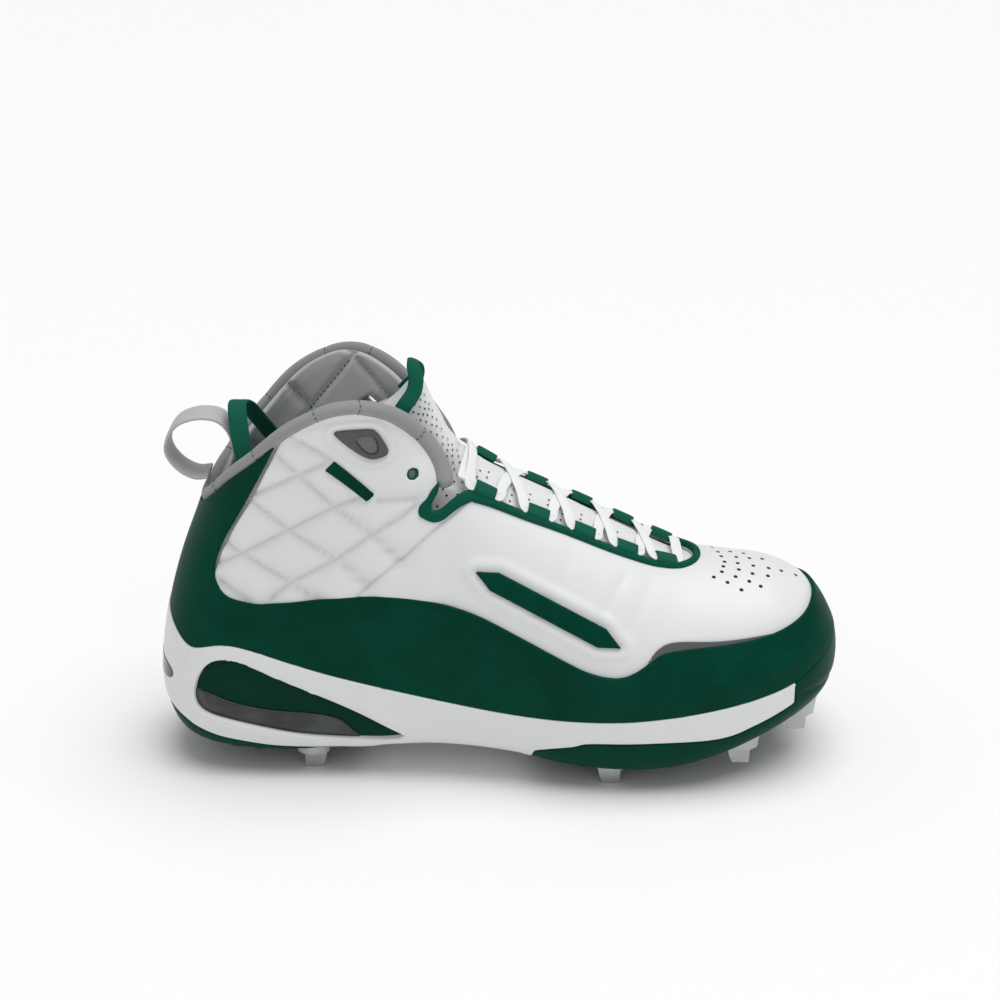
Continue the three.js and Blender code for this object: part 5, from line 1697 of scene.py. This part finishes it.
class CLEAT_OT_webbing(bpy.types.Operator):
    """Pull loop, heel strap and tongue loop"""

    bl_idname = "cleat.webbing"
    bl_label = "Webbing loops"

    def execute(self, context):
        last, lines = last_and_lines()
        s = sizes()
        thick = s.webbing_thickness / MM

        def route(table):
            t = np.array(table, float)
            return np.stack([last.along(t[:, 0]), last.aside(t[:, 1]), last.up(t[:, 2])], 1)

        loop = [[a, 0.0, b] for a, b in LOOP_LINE]
        webbing_piece(last, "pull_loop_ribbon", route(loop), (0, 1, 0), s.loop_width / MM, thick,
                      "grey_webbing", "heel_pull_loop")
        webbing_piece(last, "heel_strap_ribbon", route(STRAP_ROUTE), (1, 0, 0), s.strap_width / MM, thick,
                      "green_webbing", "heel_strap")
        other = [[a, -b, c] for a, b, c in TONGUE_LOOP_HALF[:-1][::-1]]
        webbing_piece(last, "tongue_loop_ribbon", route(TONGUE_LOOP_HALF + other), (1, 0, -0.33),
                      s.tongue_loop_width / MM, thick, "green_webbing", "tongue_loop", narrow=0.4)
        return {"FINISHED"}


# Small pieces on the sides


class CLEAT_OT_side_details(bpy.types.Operator):
    """Vent frames, lozenge inlays and the bare tag"""

    bl_idname = "cleat.side_details"
    bl_label = "Side details"

    def execute(self, context):
        last, lines = last_and_lines()

        def plate(name, outline, side, rise, edge, finish, nodes, hole=None, base=-0.4, step=0.5):
            def field(p, a):
                x, y, z = np.moveaxis(p, -1, 0)
                d = within(outline, x, z)
                return d if hole is None else np.minimum(d, -within(hole, x, z))

            places, tris = cover(last, field, step, edge=edge, sides=(side,))
            outer = rise * (0.2 + 0.8 * rounded(places[:, 2], edge))
            points, faces = skin(last, places, tris, outer, base)
            piece = make_object(name, points, faces, [finish_named(finish)], sharp=60)
            return settle(piece, "dark_trim" if finish == "grey_bed" else finish, *nodes)

        for side, word, trim in ((-1, "lateral", "dark_trim"), (1, "medial", "pale_trim")):
            plate(f"vent_rim_{word}", lines.vent, side, 1.7, 1.2, trim, [f"vent_frame_{word}"],
                  hole=lines.vent_window)
            if side < 0:
                plate("vent_bed", lines.vent_window, side, 0.6, 0.4, "grey_bed", ["vent_frame_lateral"])
            plate(f"lozenge_{word}", lines.inlay, side, 1.4, 0.9, "green_skin", [f"side_inlay_{word}"])
            ring = np.linspace(0, 2 * math.pi, 32, endpoint=False)
            eyelet = np.stack([-38 + 2.9 * np.cos(ring), 144 + 2.9 * np.sin(ring)], 1)
            bore = np.stack([-38 + 1.7 * np.cos(ring), 144 + 1.7 * np.sin(ring)], 1)
            plate(f"top_eyelet_{word}", eyelet, side, 0.25, 0.5, "green_webbing", ["eyestay"],
                  hole=bore, base=-3.0, step=0.3)
        plate("bare_tag", lines.tag, -1, 1.1, 0.35, "green_skin", ["side_tag"])

        middle = last.line([[0.316, 1.47]], per=1)[0]
        diamond = middle + np.array([[-5.4, 0.0], [0.0, 3.5], [5.4, 0.0], [0.0, -3.5]])

        def rim_field(p, a):
            x, y, z = np.moveaxis(p, -1, 0)
            return np.minimum(within(diamond, x, z), vent_gap(last, x, z))

        places, tris = cover(last, rim_field, 0.35, sides=(1,))
        points, faces = skin(last, places, tris, -4.6, -7.4)
        settle(make_object("hole_rim", points, faces, [finish_named("pale_trim")]), "pale_trim", "collar")
        return {"FINISHED"}


# What repeats: perforations and stitches


def geometry_tree(name, inputs):
    tree = bpy.data.node_groups.new(name, "GeometryNodeTree")
    tree.interface.new_socket(name="Geometry", in_out="INPUT", socket_type="NodeSocketGeometry")
    for label, kind, value in inputs:
        socket = tree.interface.new_socket(name=label, in_out="INPUT", socket_type=kind)
        if value is not None:
            socket.default_value = value
    tree.interface.new_socket(name="Geometry", in_out="OUTPUT", socket_type="NodeSocketGeometry")
    return tree, tree.nodes.new("NodeGroupInput").outputs, tree.nodes.new("NodeGroupOutput").inputs[0]


def tree_node(tree, kind, settings=None, values=None):
    node = tree.nodes.new(kind)
    for name, value in (settings or {}).items():
        setattr(node, name, value)
    for name, value in (values or {}).items():
        socket = node.inputs[name]
        if isinstance(value, bpy.types.NodeSocket):
            tree.links.new(value, socket)
        else:
            socket.default_value = value
    return node.outputs


def hole_tree():
    """A flat dark disc at each point, facing along the point's own normal: painted shade standing in for the inside
    of a hole.
    """
    tree, given, result = geometry_tree("perforations", [
        ("Width", "NodeSocketFloat", 0.0015), ("Material", "NodeSocketMaterial", None),
    ])
    half = tree_node(tree, "ShaderNodeMath", {"operation": "MULTIPLY"})
    tree.links.new(given["Width"], tree.nodes[-1].inputs[0])
    tree.nodes[-1].inputs[1].default_value = 0.5
    disc = tree_node(tree, "GeometryNodeMeshCircle", {"fill_type": "NGON"}, {"Vertices": 12, "Radius": half[0]})
    facing = tree_node(tree, "GeometryNodeInputNamedAttribute", {"data_type": "FLOAT_VECTOR"}, {"Name": "facing"})
    turned = tree_node(tree, "FunctionNodeAlignRotationToVector", {"axis": "Z"}, {"Vector": facing["Attribute"]})
    placed = tree_node(tree, "GeometryNodeInstanceOnPoints", None, {
        "Points": given["Geometry"], "Instance": disc["Mesh"], "Rotation": turned["Rotation"],
    })
    real = tree_node(tree, "GeometryNodeRealizeInstances", None, {"Geometry": placed["Instances"]})
    painted = tree_node(tree, "GeometryNodeSetMaterial", None, {
        "Geometry": real["Geometry"], "Material": given["Material"],
    })
    tree.links.new(painted["Geometry"], result)
    return tree


def stitch_tree():
    """Short threads at an even pitch along each line."""
    tree, given, result = geometry_tree("stitches", [
        ("Pitch", "NodeSocketFloat", 0.0026), ("Length", "NodeSocketFloat", 0.0019),
        ("Thread", "NodeSocketFloat", 0.0005), ("Material", "NodeSocketMaterial", None),
    ])
    curve = tree_node(tree, "GeometryNodeMeshToCurve", None, {"Mesh": given["Geometry"]})
    even = tree_node(tree, "GeometryNodeResampleCurve", {"mode": "LENGTH"}, {
        "Curve": curve["Curve"], "Length": given["Pitch"],
    })
    way = tree_node(tree, "GeometryNodeInputTangent")
    turned = tree_node(tree, "FunctionNodeAlignRotationToVector", {"axis": "X"}, {"Vector": way["Tangent"]})
    bead = tree_node(tree, "GeometryNodeMeshUVSphere", None, {"Segments": 6, "Rings": 5, "Radius": 0.5})
    size = tree_node(tree, "ShaderNodeCombineXYZ", None, {
        "X": given["Length"], "Y": given["Thread"], "Z": given["Thread"],
    })
    placed = tree_node(tree, "GeometryNodeInstanceOnPoints", None, {
        "Points": even["Curve"], "Instance": bead["Mesh"], "Rotation": turned["Rotation"],
        "Scale": size["Vector"],
    })
    real = tree_node(tree, "GeometryNodeRealizeInstances", None, {"Geometry": placed["Instances"]})
    painted = tree_node(tree, "GeometryNodeSetMaterial", None, {
        "Geometry": real["Geometry"], "Material": given["Material"],
    })
    tree.links.new(painted["Geometry"], result)
    return tree


def repeated(name, tree, points, edges, values, facing=None):
    """Runs a tree on points or lines given in the last's millimetres, and keeps the plain mesh."""
    mesh = bpy.data.meshes.new(name)
    mesh.from_pydata(((np.asarray(points) + LAST_SHIFT) * MM).tolist(), edges, [])
    if facing is not None:
        layer = mesh.attributes.new("facing", "FLOAT_VECTOR", "POINT")
        layer.data.foreach_set("vector", np.asarray(facing, float).ravel())
    carrier = bpy.data.objects.new(name + "_guide", mesh)
    bpy.context.collection.objects.link(carrier)
    modifier = carrier.modifiers.new("repeat", "NODES")
    modifier.node_group = tree
    for item in tree.interface.items_tree:
        if item.item_type == "SOCKET" and item.in_out == "INPUT" and item.name in values:
            modifier[item.identifier] = values[item.name]
    bpy.context.view_layer.update()
    evaluated = carrier.evaluated_get(bpy.context.evaluated_depsgraph_get())
    plain = bpy.data.meshes.new_from_object(evaluated)
    bpy.data.objects.remove(carrier)
    if not len(plain.polygons):
        raise RuntimeError(name + " came out empty")
    piece = bpy.data.objects.new(name, plain)
    bpy.context.collection.objects.link(piece)
    plain.shade_smooth()
    return piece


TOE_HOLES = [  # along and aside, mm
    (96, -18), (100, -14), (101, -10), (102, -6), (101, -1), (100, 4), (98, 12),
    (102, -20), (106, -16), (108, -11), (108, -6), (108, 0), (106, 7),
    (108, -23), (112, -18), (114, -13), (115, -7), (114, 0), (112, 6),
    (117, -20), (121, -13), (122, -7), (120, 1), (128, -6), (135, -4),
]


class CLEAT_OT_perforations(bpy.types.Operator):
    """Air holes over the toes and pinholes on the tongue"""

    bl_idname = "cleat.perforations"
    bl_label = "Perforations"

    def execute(self, context):
        last, lines = last_and_lines()
        s = sizes()
        holes = np.array(TOE_HOLES, float)
        u = last.ridge_at(holes[:, 0])
        angle = np.array([math.copysign(float(last.angle_at(ui, y)), -y) for ui, y in zip(u, holes[:, 1])])
        spots = last.surface(u, angle, np.full(len(u), 0.06))
        # Each hole is a dark disc laid on the leather: painted shade in place of the inside of the hole.
        tree = hole_tree()
        piece = repeated("toe_perforations", tree, spots, [], {
            "Width": s.perforation_width, "Material": finish_named("hole"),
        }, last.normal(u, angle))
        settle(piece, "leather")

        rows = np.arange(0.2, 0.97, 0.024)
        shares = np.linspace(-0.9, 0.9, 19)
        spots, facing = [], []
        for i, row in enumerate(rows):
            use = shares + (0.05 if i % 2 else 0.0)
            use = use[(np.abs(use) > 0.16) & (np.abs(np.abs(use) - 0.62) > 0.05)]
            p, n = tongue_point(last, np.full(len(use), row), use, 0.32)
            spots.append(p)
            facing.append(n)
        piece = repeated("tongue_pinholes", tree, np.vstack(spots), [], {
            "Width": s.pinhole_width, "Material": finish_named("hole"),
        }, np.vstack(facing))
        settle(piece, "leather")
        return {"FINISHED"}


def chain(lines):
    """Several lines of points as one set of points and edges."""
    points, edges, base = [], [], 0
    for line in lines:
        points.append(line)
        edges += [(base + i, base + i + 1) for i in range(len(line) - 1)]
        base += len(line)
    return np.vstack(points), edges


def on_side(last, line, side, rise):
    """A line of the side view laid on one side of the shoe."""
    p = flow(line, 6)
    u0, a0 = grid(last, (2.0, LAST_END + 0.5), (0.15, 3.0), 2.0)
    cloud = last.point(u0, a0 * -side)
    x, z = cloud[..., 0].ravel(), cloud[..., 2].ravel()
    found = []
    for px, pz in p:
        k = np.argmin((x - px) ** 2 + (z - pz) ** 2)
        u, a = u0.ravel()[k], (a0 * -side).ravel()[k]
        for _ in range(5):
            here = last.point(u, a)
            du = (last.point(u + 1e-3, a) - here) / 1e-3
            da = (last.point(u, a + 1e-3) - here) / 1e-3
            jacobian = np.array([[du[0], da[0]], [du[2], da[2]]])
            if abs(np.linalg.det(jacobian)) < 1e-3:
                break
            step = np.linalg.solve(jacobian, [px - here[0], pz - here[2]])
            u, a = u + np.clip(step[0], -0.5, 0.5), a + np.clip(step[1], -0.2, 0.2)
        found.append((u, a))
    found = np.array(found)
    rises = rise if np.ndim(rise) else np.full(len(found), float(rise))
    return last.surface(found[:, 0], found[:, 1], rises)


def shifted(line, distance):
    """A line of the side view moved sideways."""
    p = np.asarray(line, float)
    way = unit_vectors(np.gradient(p, axis=0))
    return p + np.stack([-way[:, 1], way[:, 0]], 1) * distance


class CLEAT_OT_stitches(bpy.types.Operator):
    """Stitching of the quilted lining, the collar roll and the ankle quilting channels"""

    bl_idname = "cleat.stitches"
    bl_label = "Stitches"

    def execute(self, context):
        last, lines = last_and_lines()
        s = sizes()
        tree = stitch_tree()

        def values(finish, pitch=1.0, thread=1.0):
            return {
                "Pitch": s.stitch_pitch * pitch, "Length": s.stitch_length * pitch,
                "Thread": s.thread_width * thread, "Material": finish_named(finish),
            }

        wall = s.upper_wall / MM
        quilting = []
        for side in (-1, 1):
            for slope, spacing, start in LINING_SLANTS:
                norm = math.hypot(1, slope)
                for k in range(-6, 12):
                    x = np.linspace(-150, -24, 90)
                    z = slope * x + (start + k * spacing) * norm
                    keep = (z > 70) & (z < 182)
                    if keep.sum() < 4:
                        continue
                    x, z = x[keep], z[keep]
                    u, angle, share = last.side_place(x, z, -side)
                    d = -within(lines.opening, x, z)
                    good = (share > 0.02) & (share < 0.98) & (d > -lining_rise(x, -side * 20.0) + 1.5)
                    if good.sum() < 4:
                        continue
                    deep = lining_depth(x[good], z[good], np.zeros(good.sum()), lines, wall)
                    quilting.append(last.surface(u[good], angle[good], -deep - 0.12))
        points, edges = chain(quilting)
        piece = repeated("lining_stitches", tree, points, edges, values("thread"))
        settle(piece, "lining")

        rings, point = roll_rings(last, s)
        ties = []
        for place in ROLL_STITCH_PLACES:
            for half in (slice(0, 150), slice(150, 300)):
                i = np.argmin(np.abs(point[half, 0] - place)) + half.start
                ring = rings[i][:30]
                ties.append(ring + unit_vectors(ring - rings[i].mean(0)) * 0.12)
        points, edges = chain(ties)
        piece = repeated("roll_stitches", tree, points, edges, values("thread", 0.8, 0.9))
        settle(piece, "lining")

        rows = []
        for line in QUILT_DOWN + QUILT_UP:
            for side in (-1, 1):
                fine = flow(line, 6)
                h = leather_relief(fine[:, 0], fine[:, 1], lines, s)
                rows.append(on_side(last, line, side, h + 0.1))
        points, edges = chain(rows)
        piece = repeated("quilt_stitches", tree, points, edges, values("white_thread", 0.75, 0.7))
        settle(piece, "leather")
        return {"FINISHED"}


# Studio


class CLEAT_OT_stage(bpy.types.Operator):
    """Camera at the photograph's angle, pale floor and soft light"""

    bl_idname = "cleat.stage"
    bl_label = "Studio"

    def execute(self, context):
        scene = bpy.context.scene
        scene.view_settings.view_transform = "Standard"
        scene.view_settings.look = "None"
        camera_data = bpy.data.cameras.new("studio_camera")
        camera_data.lens = 70
        camera_data.sensor_width = 36
        camera = bpy.data.objects.new("studio_camera", camera_data)
        elevation = math.radians(22.5)
        distance = 0.878
        aim = Vector((LAST_SHIFT[0] * MM, LAST_SHIFT[1] * MM, 0.121))
        camera.location = aim + Vector((0, -math.cos(elevation), math.sin(elevation))) * distance
        camera.rotation_euler = (math.pi / 2 - elevation, 0, 0)
        bpy.context.collection.objects.link(camera)
        scene.camera = camera

        mesh = bpy.data.meshes.new("studio_floor")
        far = 80.0
        mesh.from_pydata([(-far, -far, 0), (far, -far, 0), (far, far, 0), (-far, far, 0)], [], [(0, 1, 2, 3)])
        floor = bpy.data.objects.new("studio_floor", mesh)
        bpy.context.collection.objects.link(floor)
        p = Paint("pale_floor")
        broad = p.noise(p.place(), 3.0, 2.0)
        tint = colours().floor
        mesh.materials.append(p.finish(p.mix(broad, shade(tint, 0.995), tint), 0.6, specular_ior_level=0.2))

        world = bpy.data.worlds.new("studio_world")
        world.use_nodes = True
        world.node_tree.nodes["Background"].inputs["Color"].default_value = (1, 1, 1, 1)
        world.node_tree.nodes["Background"].inputs["Strength"].default_value = 0.4
        scene.world = world

        def sky_panel(name, lean, spread, strength):
            data = bpy.data.lights.new(name, "SUN")
            data.angle = math.radians(spread)
            data.energy = strength
            made = bpy.data.objects.new(name, data)
            made.rotation_euler = [math.radians(turn) for turn in lean]
            bpy.context.collection.objects.link(made)

        sky_panel("top_light", (2, 10, 0), 50, 2.0)
        sky_panel("front_light", (62, 0, 18), 50, 0.1)
        return {"FINISHED"}


class CLEAT_PT_panel(bpy.types.Panel):
    """Everything that makes the cleat"""

    bl_idname = "CLEAT_PT_panel"
    bl_label = "Baseball Cleat"
    bl_space_type = "VIEW_3D"
    bl_region_type = "UI"
    bl_category = "Cleat"

    def draw(self, context):
        for step in STEPS:
            self.layout.operator(step.bl_idname)
        for group in (sizes(), colours()):
            box = self.layout.box()
            for name in group.__annotations__:
                box.prop(group, name)


STEPS = (
    CLEAT_OT_stage, CLEAT_OT_laces, CLEAT_OT_keepers, CLEAT_OT_upper, CLEAT_OT_mudguard,
    CLEAT_OT_piping, CLEAT_OT_collar, CLEAT_OT_lining, CLEAT_OT_tongue, CLEAT_OT_insole,
    CLEAT_OT_midsole, CLEAT_OT_heel_window, CLEAT_OT_plates, CLEAT_OT_spikes,
    CLEAT_OT_webbing, CLEAT_OT_side_details, CLEAT_OT_perforations, CLEAT_OT_stitches,
)
CLASSES = (CleatSizes, CleatColours, *STEPS, CLEAT_PT_panel)


def register():
    for made in CLASSES:
        bpy.utils.register_class(made)
    bpy.types.Scene.cleat_sizes = PointerProperty(type=CleatSizes)
    bpy.types.Scene.cleat_colours = PointerProperty(type=CleatColours)


def unregister():
    del bpy.types.Scene.cleat_colours
    del bpy.types.Scene.cleat_sizes
    for made in reversed(CLASSES):
        bpy.utils.unregister_class(made)


def main():
    register()
    for step in STEPS:
        group, name = step.bl_idname.split(".")
        getattr(getattr(bpy.ops, group), name)()


if __name__ == "__main__":
    main()
